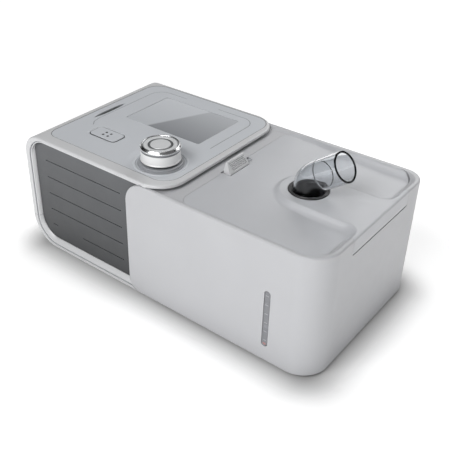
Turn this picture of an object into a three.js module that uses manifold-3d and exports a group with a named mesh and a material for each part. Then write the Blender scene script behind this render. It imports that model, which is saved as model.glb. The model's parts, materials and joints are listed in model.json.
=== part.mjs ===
// Bench-top positive-pressure ventilator: a main unit (blower, display, controls) with a heated
// humidifier docked to its right side.
// Millimetres. +X runs along the length to the humidifier, +Y to the back, +Z up.
// The origin is on the ground, under the middle of the object.

import * as THREE from 'three';
import { mergeVertices } from 'three/addons/utils/BufferGeometryUtils.js';
import Module from 'manifold-3d';

const wasm = await Module();
wasm.setup();

// ---------------------------------------------------------------- driving dimensions

const LENGTH = 271;
const DEPTH = 141.5;
const LEFT = -LENGTH / 2;
const RIGHT = LENGTH / 2;
const FRONT = -DEPTH / 2;
const BACK = DEPTH / 2;

const GAP = 0.3; // clearance between pieces that meet
const WALL = 2.6; // moulded casing wall
const BASE_Z = 1.5; // underside of both casings, held up by the feet
const DECK_Z = 101.3; // top of the main unit
const RIM_Z = 98.2; // top of the humidifier rim

const CASE_RIGHT = -5.8; // docking face of the main unit
const DECK_RIGHT = 10.9; // the deck overhangs the humidifier
const DECK_UNDER_Z = 98.6;
const SPLIT_Z = 26.5; // parting line between lower and upper housing
const DECK_PLATE_Z = 97.7; // underside of the deck plate
const POCKET_Z = 99.8; // floor of the pocket that holds the top panel

const PANEL = { left: -127, right: -14.5, bottom: 10, top: 97 };
const PANEL_Y = FRONT + 3.2; // face of the dark front panel
const FLAP_LEFT = -26.6; // free edge of the humidifier's front cover
const FLAP_THICK = 2.4;

const FASCIA = { left: -119, right: 5.6, front: -61, back: 67.6 };
const SCREEN = { left: -91.3, right: -16.3, front: -0.3, back: 50.7 };
const KNOB = { x: -19.8, y: -38.9, top: 116.2, radius: 15, press: 0.8 };
const BUTTON = { x: -81.1, y: -32.3, width: 27, depth: 13.8, corner: 3.4, press: 0.6 };
const COLLAR_TOP = 102.6; // flange under the knob
const KNOB_BOTTOM = COLLAR_TOP + KNOB.press + 0.5;
const SWITCH_Z = 90; // top of the switch dome under the button
const CARD = { x: -111.1, y: 1, width: 24, height: 32, thick: 1.4, top: 100.2 };

const BLOWER = { x: -66, y: 0, bottom: 52, top: 76 };
const PORT = { y: 30.5, z: 64 }; // air port between the two units
const FILTER = { left: -120, right: -76, bottom: 28, top: 68 };
const INLET = { x: -40, z: 22 }; // power socket on the back

const HUM_LEFT = -5.3; // docking face of the humidifier
const STRIP_Z = 96.7; // shelf beside the lid, under the deck
const LID = { left: 19.9, right: 128.3, front: FRONT + 4.6, back: BACK - 6.2 };
const LID_PLATE_Z = 91.2;
const LID_LEFT_Z = 96.6; // lid surface by the deck
const LID_RIGHT_Z = 93.8; // lid surface in the two pockets
const TAB = { front: -34.2, back: 41.6, bottom: 87 }; // part of the rim that belongs to the lid
const HINGE = { x: RIGHT - 3, z: 94, pin: 1 };
const OUTLET = { x: 81.1, y: 0, radius: 11, bore: 9.6 };
const OUTLET_AXIS_Z = 106.5; // where the elbow's two axes meet
const OUTLET_TILT = 35.6 * Math.PI / 180; // rise of the outlet tube above level
const OUTLET_REACH = 31.2; // from that point to the tube's end
const LATCH = { front: -16.9, back: 5.9, pivotX: 24, pivotZ: 93.7 };
const WINDOW = { left: 95.4, right: 100.3, bottom: 14.5, top: 61.1 };
const TANK = { left: 25.5, right: 122.5, front: -59, back: 57, bottom: 9.4, top: 84 };

// ---------------------------------------------------------------- outlines

function arc(cx, cy, radius, from, to, steps) {
  const points = [];
  for (let i = 0; i <= steps; i += 1) {
    const angle = from + (to - from) * i / steps;
    points.push([cx + radius * Math.cos(angle), cy + radius * Math.sin(angle)]);
  }
  return points;
}

/** Rounded rectangle. corners: radii at the low-low, high-low, high-high and low-high corner. */
function roundedRect(x0, x1, y0, y1, corners, steps = 4) {
  const [a, b, c, d] = Array.isArray(corners) ? corners : [corners, corners, corners, corners];
  const quarter = Math.PI / 2;
  return [
    ...arc(x0 + a, y0 + a, a, 2 * quarter, 3 * quarter, steps),
    ...arc(x1 - b, y0 + b, b, 3 * quarter, 4 * quarter, steps),
    ...arc(x1 - c, y1 - c, c, 0, quarter, steps),
    ...arc(x0 + d, y1 - d, d, quarter, 2 * quarter, steps),
  ];
}

function circle(x, y, radius, sides = 20) {
  return arc(x, y, radius, 0, 2 * Math.PI, sides).slice(0, sides);
}

// ---------------------------------------------------------------- solids

function fromGeometry(geometry) {
  const plain = new THREE.BufferGeometry();
  plain.setAttribute('position', geometry.getAttribute('position'));
  plain.setIndex(geometry.getIndex());
  const merged = mergeVertices(plain, 1e-4);
  return new wasm.Manifold(new wasm.Mesh({
    numProp: 3,
    vertProperties: Float32Array.from(merged.getAttribute('position').array),
    triVerts: Uint32Array.from(merged.getIndex().array),
  }));
}

function toGeometry(solid) {
  const mesh = solid.getMesh();
  const geometry = new THREE.BufferGeometry();
  geometry.setAttribute('position', new THREE.Float32BufferAttribute(mesh.vertProperties, 3));
  geometry.setIndex(new THREE.Uint32BufferAttribute(mesh.triVerts, 1));
  return geometry;
}

/**
 * Solid skinned over outlines with equal numbers of points. An outline is anticlockwise and holds
 * [x, y] along axis z, [x, z] along axis y, and [y, z] along axis x. sections: [level, outline].
 */
function loft(axis, ...sections) {
  const point = {
    x: (a, b, level) => [level, a, b],
    y: (a, b, level) => [a, level, b],
    z: (a, b, level) => [a, b, level],
  }[axis];
  const count = sections[0][1].length;
  const positions = sections.flatMap(([level, outline]) => (
    outline.flatMap(([a, b]) => point(a, b, level))
  ));
  const capOf = (section) => {
    const contour = sections[section][1].map(([a, b]) => new THREE.Vector2(a, b));
    const cap = THREE.ShapeUtils.triangulateShape(contour, []);
    return cap.map((face) => face.map((i) => section * count + i));
  };
  const faces = [...capOf(0).map(([i, j, k]) => [k, j, i]), ...capOf(sections.length - 1)];
  for (let s = 0; s + 1 < sections.length; s += 1) {
    for (let i = 0; i < count; i += 1) {
      const low = s * count;
      const high = low + count;
      const next = (i + 1) % count;
      faces.push([low + i, low + next, high + next], [low + i, high + next, high + i]);
    }
  }
  const outward = axis === 'y' ? faces.map(([i, j, k]) => [k, j, i]) : faces;
  const geometry = new THREE.BufferGeometry();
  geometry.setAttribute('position', new THREE.Float32BufferAttribute(positions, 3));
  geometry.setIndex(outward.flat());
  return fromGeometry(geometry);
}

function prism(axis, low, high, outline) {
  return loft(axis, [low, outline], [high, outline]);
}

function box(x0, x1, y0, y1, z0, z1) {
  const geometry = new THREE.BoxGeometry(x1 - x0, y1 - y0, z1 - z0);
  geometry.translate((x0 + x1) / 2, (y0 + y1) / 2, (z0 + z1) / 2);
  return fromGeometry(geometry);
}

/** Square block, half a side either way from x, y. */
function block(x, y, half, z0, z1) {
  return box(x - half, x + half, y - half, y + half, z0, z1);
}

function cylinder(axis, a, b, radius, low, high, sides = 20) {
  return prism(axis, low, high, circle(a, b, radius, sides));
}

/** Solid of revolution about the vertical at x, y. profile: [radius, z], anticlockwise. */
function turned(x, y, profile, sides = 28) {
  const closed = [...profile, profile[0]].map(([radius, z]) => new THREE.Vector2(radius, z));
  const geometry = new THREE.LatheGeometry(closed, sides);
  geometry.rotateX(Math.PI / 2);
  geometry.translate(x, y, 0);
  return fromGeometry(geometry);
}

function ring(x, y, inner, outer, low, high, sides = 28) {
  return turned(x, y, [[inner, low], [outer, low], [outer, high], [inner, high]], sides);
}

/** Copies of a repeated shape, each made from its index. */
function row(count, make) {
  return Array.from({ length: count }, (_, index) => make(index));
}

function join(...solids) {
  return solids.reduce((all, next) => all.add(next));
}

function cut(solid, ...tools) {
  return tools.reduce((left, tool) => left.subtract(tool), solid);
}

// ---------------------------------------------------------------- materials and assembly

const FINISHES = {
  casing: { color: 0xe4e5e6, roughness: 0.35, metalness: 0 },
  cover: { color: 0xdfe0e2, roughness: 0.4, metalness: 0 },
  fascia: { color: 0xb9bcc0, roughness: 0.4, metalness: 0 },
  lid: { color: 0xb4b7bb, roughness: 0.45, metalness: 0 },
  panel: { color: 0x5b5e62, roughness: 0.5, metalness: 0 },
  glass: { color: 0x8a8f95, roughness: 0.1, metalness: 0 },
  chrome: { color: 0xd8dadc, roughness: 0.12, metalness: 1 },
  satin: { color: 0xd9dadb, roughness: 0.35, metalness: 0.3 },
  dark: { color: 0x3a3c40, roughness: 0.5, metalness: 0 },
  rubber: { color: 0x1e1f21, roughness: 0.7, metalness: 0 },
  clear: { color: 0xd5dade, roughness: 0.08, metalness: 0 },
  board: { color: 0x1f5a3c, roughness: 0.55, metalness: 0 },
  steel: { color: 0xa9adb2, roughness: 0.3, metalness: 1 },
  aluminium: { color: 0xc3c6ca, roughness: 0.4, metalness: 1 },
  foam: { color: 0x4a4b4e, roughness: 0.95, metalness: 0 },
  filter: { color: 0xf1f1ee, roughness: 0.95, metalness: 0 },
};

const ventilator = new THREE.Group();

function place(name, finish, solid) {
  const mesh = new THREE.Mesh(toGeometry(solid), new THREE.MeshStandardMaterial(FINISHES[finish]));
  mesh.name = name;
  ventilator.add(mesh);
}

// ---------------------------------------------------------------- main unit: housings

/** Front-view outline of the casing, moved inwards by inset. */
function caseOutline(inset, steps = 5) {
  const corners = [25 - inset, 2, 2, 17 - inset];
  return roundedRect(LEFT + inset, CASE_RIGHT - inset, BASE_Z + inset, DECK_Z - inset, corners, steps);
}

/** Front opening of the casing; the bezel sits in it. */
function lipOutline(inset) {
  const bottom = BASE_Z + 3.2 + inset;
  const top = DECK_Z - 2.4 - inset;
  return roundedRect(LEFT + 5 + inset, PANEL.right + 5.5, bottom, top, [21 - inset, 2, 2, 13 - inset]);
}

function panelOutline(grow) {
  const { left, right, bottom, top } = PANEL;
  return roundedRect(left - grow, right + grow, bottom - grow, top + grow, [17 + grow, 2, 2, 9.5 + grow]);
}

function fasciaOutline(grow) {
  const { left, right, front, back } = FASCIA;
  const corners = [10 + grow, 14 + grow, 14 + grow, 14 + grow];
  return roundedRect(left - grow, right + grow, front - grow, back + grow, corners);
}

function deckOutline(inset) {
  const corners = [2, 22 - inset, 22 - inset, 2];
  return roundedRect(LEFT + 17, DECK_RIGHT - inset, FRONT + inset, BACK - inset, corners, 6);
}

function buttonOutline(grow) {
  const { x, y, width, depth, corner } = BUTTON;
  const halfWidth = width / 2 + grow;
  const halfDepth = depth / 2 + grow;
  return roundedRect(x - halfWidth, x + halfWidth, y - halfDepth, y + halfDepth, corner + grow);
}

/** Slim slot with tapered ends, wide enough in the middle for the memory card. */
function slotOutline() {
  const half = 18;
  const width = (y) => 1.1 * (1 - Math.abs(y / half) ** 5);
  const steps = [-18, -16.5, -14, -8, 0, 8, 14, 16.5];
  const right = steps.map((y) => [CARD.x + width(y), CARD.y + y]);
  const left = steps.map((y) => [CARD.x - width(y), CARD.y - y]);
  return [...right, ...left];
}

function screenOutline(grow) {
  const { left, right, front, back } = SCREEN;
  return roundedRect(left - grow, right + grow, front - grow, back + grow, 1.5);
}

const POSTS = [[-105.8, 23], [-66, -41.5], [-30, 23]]; // blower posts
const MAIN_FEET = [[-100, -52], [-22, -52], [-22, 52], [-100, 52]];

/** Round foot, chamfered where it meets the ground. */
function foot([x, y]) {
  return loft(
    'z',
    [0, circle(x, y, 5.9)],
    [0.5, circle(x, y, 6.4)],
    [BASE_Z + 0.5, circle(x, y, 6.4)],
  );
}

function footRecess([x, y]) {
  return cylinder('z', x, y, 6.8, 0, BASE_Z + 0.8);
}

const casing = (() => {
  const body = loft(
    'y',
    [FRONT, caseOutline(0.9)],
    [FRONT + 0.9, caseOutline(0)],
    [BACK - 1.5, caseOutline(0)],
    [BACK, caseOutline(1.5)],
  );
  const deck = loft(
    'z',
    [DECK_UNDER_Z, deckOutline(0.4)],
    [DECK_UNDER_Z + 0.6, deckOutline(0)],
    [DECK_Z - 1.2, deckOutline(0)],
    [DECK_Z - 0.4, deckOutline(0.5)],
    [DECK_Z, deckOutline(1.6)],
  );
  const insideCorners = [22, 1.5, 1.5, 14];
  const inside = roundedRect(
    LEFT + WALL, CASE_RIGHT - WALL, BASE_Z + WALL, DECK_PLATE_Z, insideCorners, 6,
  );
  const flapBack = FRONT + FLAP_THICK + 0.4;
  const flapRelief = box(FLAP_LEFT - 0.5, CASE_RIGHT + 1, FRONT - 1, flapBack, 0, DECK_UNDER_Z - 0.1);
  return cut(
    join(body, deck),
    prism('y', FRONT + 7, BACK + 1, inside),
    prism('y', FRONT - 1, FRONT + 7.1, lipOutline(0)),
    flapRelief,
    cylinder('x', PORT.y, PORT.z, 12.5, CASE_RIGHT - 5, CASE_RIGHT + 1),
    box(CASE_RIGHT - 5, CASE_RIGHT + 1, -30.5, -9.5, 14, 26.1),
    ...MAIN_FEET.map(footRecess),
  );
})();

place('upper_housing', 'casing', (() => {
  const aboveSplit = box(LEFT - 1, RIGHT, FRONT - 1, BACK + 1, SPLIT_Z + GAP / 2, DECK_Z + 1);
  return cut(
    casing.intersect(aboveSplit),
    prism('z', POCKET_Z, DECK_Z + 1, fasciaOutline(GAP)),
    prism('z', 90, DECK_Z, screenOutline(2)),
    prism('z', 90, DECK_Z, buttonOutline(-1)),
    prism('z', 90, DECK_Z, slotOutline()),
    cylinder('z', KNOB.x, KNOB.y, 9, 90, DECK_Z),
  );
})());

place('lower_housing', 'casing', (() => {
  const belowSplit = box(LEFT - 1, RIGHT, FRONT - 1, BACK + 1, 0, SPLIT_Z - GAP / 2);
  const floor = BASE_Z + WALL - 0.5;
  const boardStuds = [[-112, -50], [-26, -50], [-26, 50], [-112, 50]];
  const posts = POSTS.map(([x, y]) => cylinder('z', x, y, 4, floor, 43.7, 16));
  const studs = boardStuds.map(([x, y]) => cylinder('z', x, y, 3, floor, 9.2, 12));
  const vents = row(5, (i) => box(-80 + 10 * i, -77.5 + 10 * i, -20, 20, 0, floor + 1));
  return cut(join(casing.intersect(belowSplit), ...posts, ...studs), ...vents);
})());

place('front_bezel', 'casing', (() => {
  const outer = prism('y', FRONT + 0.7, FRONT + 6.6, lipOutline(0.7));
  const slope = loft('y', [FRONT + 0.6, lipOutline(1.5)], [PANEL_Y, panelOutline(GAP)]);
  const hole = prism('y', PANEL_Y - 0.1, FRONT + 7, panelOutline(GAP));
  const relief = box(FLAP_LEFT - 0.5, 0, FRONT, FRONT + FLAP_THICK + 0.5, 0, DECK_Z);
  return cut(outer, slope, hole, relief);
})());

place('front_panel', 'panel', (() => {
  const plate = prism('y', PANEL_Y, PANEL_Y + 2.4, panelOutline(0));
  const groove = (x0, x1, z) => box(x0, x1, PANEL_Y - 1, PANEL_Y + 0.8, z - 0.45, z + 0.45);
  const pitch = 14.8;
  const lowest = 22.7;
  const full = row(4, (i) => groove(-115.2, -34.5, lowest + pitch * (i + 1)));
  return cut(plate, ...full, groove(-115.2, -109, lowest), groove(-79.7, -34.5, lowest));
})());

place('rear_panel', 'casing', (() => {
  const y0 = BACK - 3.4;
  const y1 = BACK - 0.6;
  const edge = WALL + GAP;
  const corners = [21.7, 1.2, 1.2, 13.7];
  const outline = roundedRect(LEFT + edge, CASE_RIGHT - edge, BASE_Z + edge, DECK_PLATE_Z - GAP, corners);
  const { left, right, bottom, top } = FILTER;
  const tray = box(left - 1.6, right + 1.6, y0 - 8, y0 + 1, bottom - 1.6, top + 1.6);
  const trayInside = box(left, right, y0 - 6.4, y1 + 1, bottom, top);
  const slots = row(5, (i) => box(left + 4 + 8 * i, left + 8.5 + 8 * i, y0 - 9, y0, bottom + 4, top - 4));
  const vents = row(6, (i) => box(-62 + 7 * i, -59.5 + 7 * i, y0 - 1, y1 + 1, 44, 74));
  const inletHole = cylinder('y', INLET.x, INLET.z, 6.4, y0 - 1, y1 + 1);
  return cut(join(prism('y', y0, y1, outline), tray), trayInside, ...slots, ...vents, inletHole);
})());

MAIN_FEET.forEach((centre, index) => place(`main_foot_${index + 1}`, 'rubber', foot(centre)));

// ---------------------------------------------------------------- main unit: top controls

place('top_panel', 'fascia', cut(
  prism('z', POCKET_Z + GAP, DECK_Z - 0.05, fasciaOutline(0)),
  prism('z', 90, DECK_Z + 1, screenOutline(GAP)),
  prism('z', 90, DECK_Z + 1, buttonOutline(0.5)),
  prism('z', 90, DECK_Z + 1, slotOutline()),
  cylinder('z', KNOB.x, KNOB.y, 12.5, 90, DECK_Z + 1, 32),
));

place('display_window', 'glass', prism('z', POCKET_Z + GAP, DECK_Z - 0.1, screenOutline(0)));

place('lcd_module', 'dark', join(
  prism('z', 95.2, POCKET_Z, screenOutline(1.4)),
  box(SCREEN.left - 3, SCREEN.right + 3, SCREEN.front - 3, SCREEN.back + 3, 93.4, 96.8),
));

place('menu_button', 'fascia', (() => {
  const capBottom = POCKET_Z + BUTTON.press + GAP;
  const cap = loft(
    'z',
    [capBottom, buttonOutline(-0.1)],
    [DECK_Z, buttonOutline(-0.1)],
    [DECK_Z + 0.35, buttonOutline(-0.6)],
  );
  const skirt = prism('z', 97, capBottom, buttonOutline(-1.6));
  const stem = cylinder('z', BUTTON.x, BUTTON.y, 2, SWITCH_Z + BUTTON.press + GAP, 97.5, 12);
  return join(cap, skirt, stem);
})());

place('knob_collar', 'dark', turned(KNOB.x, KNOB.y, [
  [8.4, POCKET_Z + GAP],
  [12, POCKET_Z + GAP],
  [12, DECK_Z + 0.2],
  [16.4, DECK_Z + 0.2],
  [16.4, DECK_Z + 1.2],
  [15.6, COLLAR_TOP],
  [8.4, COLLAR_TOP],
]));

place('knob_body', 'satin', cut(
  turned(KNOB.x, KNOB.y, [
    [0, KNOB_BOTTOM],
    [13.6, KNOB_BOTTOM],
    [14.2, KNOB_BOTTOM + 0.8],
    [14.2, 112.8],
    [12.4, 113],
    [12.4, 113.8],
    [0, 113.8],
  ]),
  turned(KNOB.x, KNOB.y, [[5.6, 100], [11.8, 100], [11.8, 110.8], [5.6, 110.8]]),
  cylinder('z', KNOB.x, KNOB.y, 3 + GAP, 100, 108.3),
));

place('knob_chrome_ring', 'chrome', turned(KNOB.x, KNOB.y, [
  [12.7, 113.3],
  [14.4, 113.1],
  [KNOB.radius, 113.8],
  [KNOB.radius, 115.2],
  [14.5, KNOB.top - 0.1],
  [13.6, KNOB.top],
  [12.7, 115.6],
]));

place('knob_cap', 'satin', cut(
  cylinder('z', KNOB.x, KNOB.y, 12.4, 113.8 + GAP, 115.7, 32),
  ring(KNOB.x, KNOB.y, 7.2, 8.4, 115.3, 116.8),
));

place('encoder_shaft', 'steel', cylinder('z', KNOB.x, KNOB.y, 3, 91.4, 108));

place('encoder_body', 'dark', cut(
  join(block(KNOB.x, KNOB.y, 6, 88.8, 96), cylinder('z', KNOB.x, KNOB.y, 4.6, 95, 98.8)),
  cylinder('z', KNOB.x, KNOB.y, 3 + GAP, 90, 100),
  cylinder('z', KNOB.x, KNOB.y, 5.3, 90, 94.2),
));

place('encoder_rotor', 'steel', ring(KNOB.x, KNOB.y, 3.3, 5, 91.6, 93.9, 24));

place('control_board', 'board', (() => {
  const board = box(-105, -12, -60, 60, 86.9, 88.5);
  const switchBody = block(BUTTON.x, BUTTON.y, 3, 88.4, SWITCH_Z - 0.5);
  const dome = cylinder('z', BUTTON.x, BUTTON.y, 1.8, SWITCH_Z - 0.6, SWITCH_Z, 12);
  const chips = [[-60, 20, 9], [-40, 30, 5], [-50, -35, 6]];
  return join(board, switchBody, dome, ...chips.map(([x, y, half]) => block(x, y, half, 88.4, 90)));
})());

place('ribbon_cable', 'filter', box(-102, -86, -57.4, -56.8, 11.4, 86.6));

place('memory_card', 'dark', (() => {
  const { x, y, width, height, thick, top } = CARD;
  return box(x - thick / 2, x + thick / 2, y - width / 2, y + width / 2, top - height, top);
})());

place('card_socket', 'steel', cut(
  box(CARD.x - 2.6, CARD.x + 2.6, CARD.y - 15, CARD.y + 15, 65.6, 88),
  box(CARD.x - 1, CARD.x + 1, CARD.y - 12.4, CARD.y + 12.4, 66.8, 89),
));

// ---------------------------------------------------------------- main unit: blower and power

place('main_board', 'board', (() => {
  const board = box(-118, -20, -58, 60, 9.5, 11.1);
  const chips = [block(-45, -30, 7, 11, 13), block(-90, 40, 6, 11, 13)];
  const cans = row(3, (i) => cylinder('z', -52 - 12 * i, 46, 4, 11, 23, 12));
  const fins = row(5, (i) => box(-112, -84, -52 + 4.5 * i, -50 + 4.5 * i, 13, 24));
  const heatSink = join(box(-112, -84, -52, -32, 11, 13.5), ...fins);
  const holes = POSTS.map(([x, y]) => cylinder('z', x, y, 4.5, 8, 12, 16));
  return cut(join(board, heatSink, ...chips, ...cans), ...holes);
})());

/** Spiral casing outline: the radius grows clockwise to the outlet at the back, which blows to +X. */
function scrollOutline(start, end, outletFront, outletBack, outletX) {
  const steps = 30;
  const points = [];
  for (let i = 0; i <= steps; i += 1) {
    const turn = i / steps;
    const angle = Math.PI / 2 - 0.5 - (2 * Math.PI - 0.5) * turn;
    const radius = start + (end - start) * turn;
    points.push([BLOWER.x + radius * Math.cos(angle), BLOWER.y + radius * Math.sin(angle)]);
  }
  return [...points, [outletX, outletBack], [outletX, outletFront]].reverse();
}

const SCROLL_MID_Z = 64;
const outletX = BLOWER.x + 44;
const scrollOutside = scrollOutline(33, 43, 18.5, 43, outletX);
const scrollInside = scrollOutline(31, 41, 20.5, 40.5, outletX + 1);

place('blower_lower_volute', 'casing', (() => {
  const ears = POSTS.map(([x, y]) => cylinder('z', x, y, 6, BLOWER.bottom, BLOWER.bottom + 3, 16));
  return cut(
    join(prism('z', BLOWER.bottom, SCROLL_MID_Z - GAP / 2, scrollOutside), ...ears),
    prism('z', BLOWER.bottom + 2, SCROLL_MID_Z + 1, scrollInside),
    cylinder('z', BLOWER.x, BLOWER.y, 3.6, BLOWER.bottom - 1, BLOWER.bottom + 3),
  );
})());

place('blower_upper_volute', 'casing', cut(
  join(
    prism('z', SCROLL_MID_Z + GAP / 2, BLOWER.top, scrollOutside),
    cylinder('z', BLOWER.x, BLOWER.y, 15, BLOWER.top - 1, BLOWER.top + 3),
  ),
  prism('z', SCROLL_MID_Z - 1, BLOWER.top - 2, scrollInside),
  cylinder('z', BLOWER.x, BLOWER.y, 12.5, BLOWER.top - 3, BLOWER.top + 4),
));

const BLADES = 11;

place('impeller', 'filter', (() => {
  const blades = row(BLADES, (i) => {
    const blade = new THREE.BoxGeometry(16, 1.2, 9);
    blade.translate(18.5, 0, 63.5);
    blade.rotateZ(i * 2 * Math.PI / BLADES);
    blade.translate(BLOWER.x, BLOWER.y, 0);
    return fromGeometry(blade);
  });
  const hubProfile = [[2.8, 57], [27.5, 57], [27.5, 59], [12, 60], [7, 70], [2.8, 70]];
  return join(turned(BLOWER.x, BLOWER.y, hubProfile), ...blades);
})());

place('motor_shaft', 'steel', cylinder('z', BLOWER.x, BLOWER.y, 2.5, 34, 71, 16));

const underBlower = BLOWER.bottom - GAP;
place('motor_stator', 'dark', cut(
  turned(BLOWER.x, BLOWER.y, [[0, 31], [19, 31], [21, 33], [21, underBlower], [0, underBlower]]),
  cylinder('z', BLOWER.x, BLOWER.y, 3, 33, BLOWER.bottom + 1, 16),
));

POSTS.forEach(([x, y], index) => {
  place(`blower_mount_${index + 1}`, 'rubber', cylinder('z', x, y, 5, 44, underBlower, 16));
});

place('outlet_duct', 'rubber', (() => {
  const start = outletX - 6;
  const end = CASE_RIGHT + 7;
  const collar = box(outletX + GAP, outletX + 4, 17, 44, BLOWER.bottom - 1, BLOWER.top + 1);
  const tube = cylinder('x', PORT.y, PORT.z, 11, outletX + 3, end);
  const flange = cylinder('x', PORT.y, PORT.z, 12.1, CASE_RIGHT - 4.6, CASE_RIGHT - 0.4);
  return cut(join(collar, tube, flange), cylinder('x', PORT.y, PORT.z, 9, start, end + 1));
})());

place('muffler_foam', 'foam', cut(
  box(-124, -72, 46, 58.8, 26, 84),
  cylinder('y', -98, 48, 12, 45, 60),
));

function filterOutline(inset, corner) {
  const { left, right, bottom, top } = FILTER;
  return roundedRect(left + inset, right - inset, bottom + inset, top - inset, corner);
}

place('air_filter', 'filter', prism('y', BACK - 9.4, BACK - 4.2, filterOutline(0.8, 1)));

place('filter_cover', 'fascia', (() => {
  const slots = row(6, (i) => {
    const low = FILTER.bottom + 5 + 5.6 * i;
    return box(FILTER.left + 6, FILTER.right - 6, BACK - 5, BACK, low, low + 2.2);
  });
  return cut(prism('y', BACK - 3.6, BACK - 0.3, filterOutline(0.4, 2)), ...slots);
})());

place('power_inlet', 'dark', (() => {
  const barrel = cylinder('y', INLET.x, INLET.z, 6, BACK - 17, BACK - 0.8);
  const bore = cylinder('y', INLET.x, INLET.z, 4.4, BACK - 12, BACK);
  const pin = cylinder('y', INLET.x, INLET.z, 1.2, BACK - 13, BACK - 7, 12);
  return join(cut(barrel, bore), pin);
})());

place('dock_connector', 'dark', join(
  box(CASE_RIGHT - 10, CASE_RIGHT - 0.4, -30, -10, 14.5, 25.6),
  box(CASE_RIGHT - 1, CASE_RIGHT + 3, -28, -12, 17, 23.5),
));

// ---------------------------------------------------------------- humidifier: shell and base

function shellOutline(inset) {
  const left = HUM_LEFT + Math.min(inset, 0.5);
  const corners = [1.5, 20.5 - inset, 14.5 - inset, 1.5];
  return roundedRect(left, RIGHT - inset, FRONT + inset, BACK - inset, corners, 6);
}

function lidOutline(inset) {
  const { left, right, front, back } = LID;
  const corners = [10.5 - inset, 16 - inset, 9.5 - inset, 10.5 - inset];
  return roundedRect(left + inset, right - inset, front + inset, back - inset, corners, 6);
}

/** Inner edge of the rim at its top; the recess narrows from here down to the lid. */
function rimOutline(inset) {
  const right = RIGHT - 3 - inset;
  const corners = [12 - inset, 18 - inset, 12 - inset, 12 - inset];
  return roundedRect(LID.left + inset, right, FRONT + 2.4 + inset, BACK - 3 - inset, corners, 6);
}

function windowOutline(grow, corner) {
  const { left, right, bottom, top } = WINDOW;
  return roundedRect(left - grow, right + grow, bottom - grow, top + grow, corner);
}

const HUMIDIFIER_FEET = [[14, -54], [112, -54], [112, 52], [14, 52]];

const shellBody = loft(
  'z',
  [2.1, shellOutline(0.6)],
  [2.7, shellOutline(0)],
  [RIM_Z - 1.6, shellOutline(0)],
  [RIM_Z - 0.6, shellOutline(0.25)],
  [RIM_Z - 0.15, shellOutline(0.75)],
  [RIM_Z, shellOutline(1.5)],
);

function lidRecess(inset, topZ) {
  return loft('z', [93.4, lidOutline(inset)], [RIM_Z, rimOutline(inset)], [topZ, rimOutline(inset)]);
}

place('humidifier_shell', 'cover', (() => {
  const flapCorners = [10, 0.5, 0.5, 17.5];
  const flapOutline = (inset) => (
    roundedRect(FLAP_LEFT + inset, HUM_LEFT + 8, 2.1 + inset, RIM_Z - inset, flapCorners, 7)
  );
  const flap = loft(
    'y',
    [FRONT, flapOutline(0.8)],
    [FRONT + 0.5, flapOutline(0)],
    [FRONT + FLAP_THICK, flapOutline(0)],
  );
  const cavityCorners = [1, 18, 12, 1];
  const cavity = roundedRect(
    HUM_LEFT + 2.4, RIGHT - 2.4, FRONT + 2.4, BACK - 2.4, cavityCorners, 6,
  );
  const strip = box(HUM_LEFT - 1, LID.left + 12, FRONT + 2.6, BACK - 3, STRIP_Z, RIM_Z + 1);
  const tabRelief = box(
    RIGHT - 9, RIGHT + 1, TAB.front - GAP, TAB.back + GAP, TAB.bottom - 1.1, RIM_Z + 1,
  );
  const windowHole = prism('y', FRONT - 1, FRONT + 3, windowOutline(0, 2.4));
  const latchRelief = box(LID.left - 1.6, LID.left + 1, LATCH.front - 1, LATCH.back + 6, 80, RIM_Z);
  return cut(
    join(shellBody, flap),
    prism('z', 0, 90.8, cavity),
    prism('z', 90, 94, lidOutline(-GAP)),
    lidRecess(-GAP, RIM_Z + 1),
    strip,
    tabRelief,
    windowHole,
    latchRelief,
    cylinder('y', HINGE.x, HINGE.z, HINGE.pin + GAP, TAB.front - 7, TAB.back + 7, 12),
    cylinder('x', PORT.y, PORT.z, 14.2, HUM_LEFT - 1, HUM_LEFT + 4),
    box(HUM_LEFT - 1, HUM_LEFT + 4, -30.5, -9.5, 14, 26.4),
  );
})());

place('humidifier_base', 'dark', (() => {
  const insideWall = roundedRect(
    HUM_LEFT + 2.7, RIGHT - 2.7, FRONT + 2.7, BACK - 2.7, [1, 17.7, 11.7, 1], 6,
  );
  return cut(
    join(
      prism('z', BASE_Z, 1.85, shellOutline(0.9)),
      prism('z', BASE_Z, 4.5, insideWall),
      prism('z', 4, 12, roundedRect(16, 128, -65, 62, 6)),
    ),
    prism('z', 4.6, 13, roundedRect(18, 126, -63, 60, 5)),
    ...HUMIDIFIER_FEET.map(footRecess),
  );
})());

HUMIDIFIER_FEET.forEach((centre, index) => {
  place(`humidifier_foot_${index + 1}`, 'rubber', foot(centre));
});

place('level_window', 'clear', join(
  prism('y', FRONT + 0.15, FRONT + 4, windowOutline(-GAP, 2.1)),
  prism('y', FRONT + 2.4 + GAP, FRONT + 4.2, windowOutline(2, 4)),
));

place('dock_socket', 'dark', cut(
  box(HUM_LEFT + 0.4, HUM_LEFT + 12, -30, -10, 14.5, 25.9),
  box(HUM_LEFT, HUM_LEFT + 5, -28.4, -11.6, 16.6, 23.9),
));

// ---------------------------------------------------------------- humidifier: tank and heater

function tankOutline(grow) {
  const { left, right, front, back } = TANK;
  return roundedRect(left - grow, right + grow, front - grow, back + grow, 10 + grow);
}

/** Square under the middle of the tank, half a side either way. */
function plateOutline(half) {
  const x = (TANK.left + TANK.right) / 2;
  const y = (TANK.front + TANK.back) / 2;
  return roundedRect(x - half, x + half, y - half, y + half, 6);
}

place('heater_plate', 'aluminium', join(
  prism('z', 4.9, 6.4, plateOutline(46)),
  prism('z', 6.3, TANK.bottom - GAP, plateOutline(42)),
));

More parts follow.
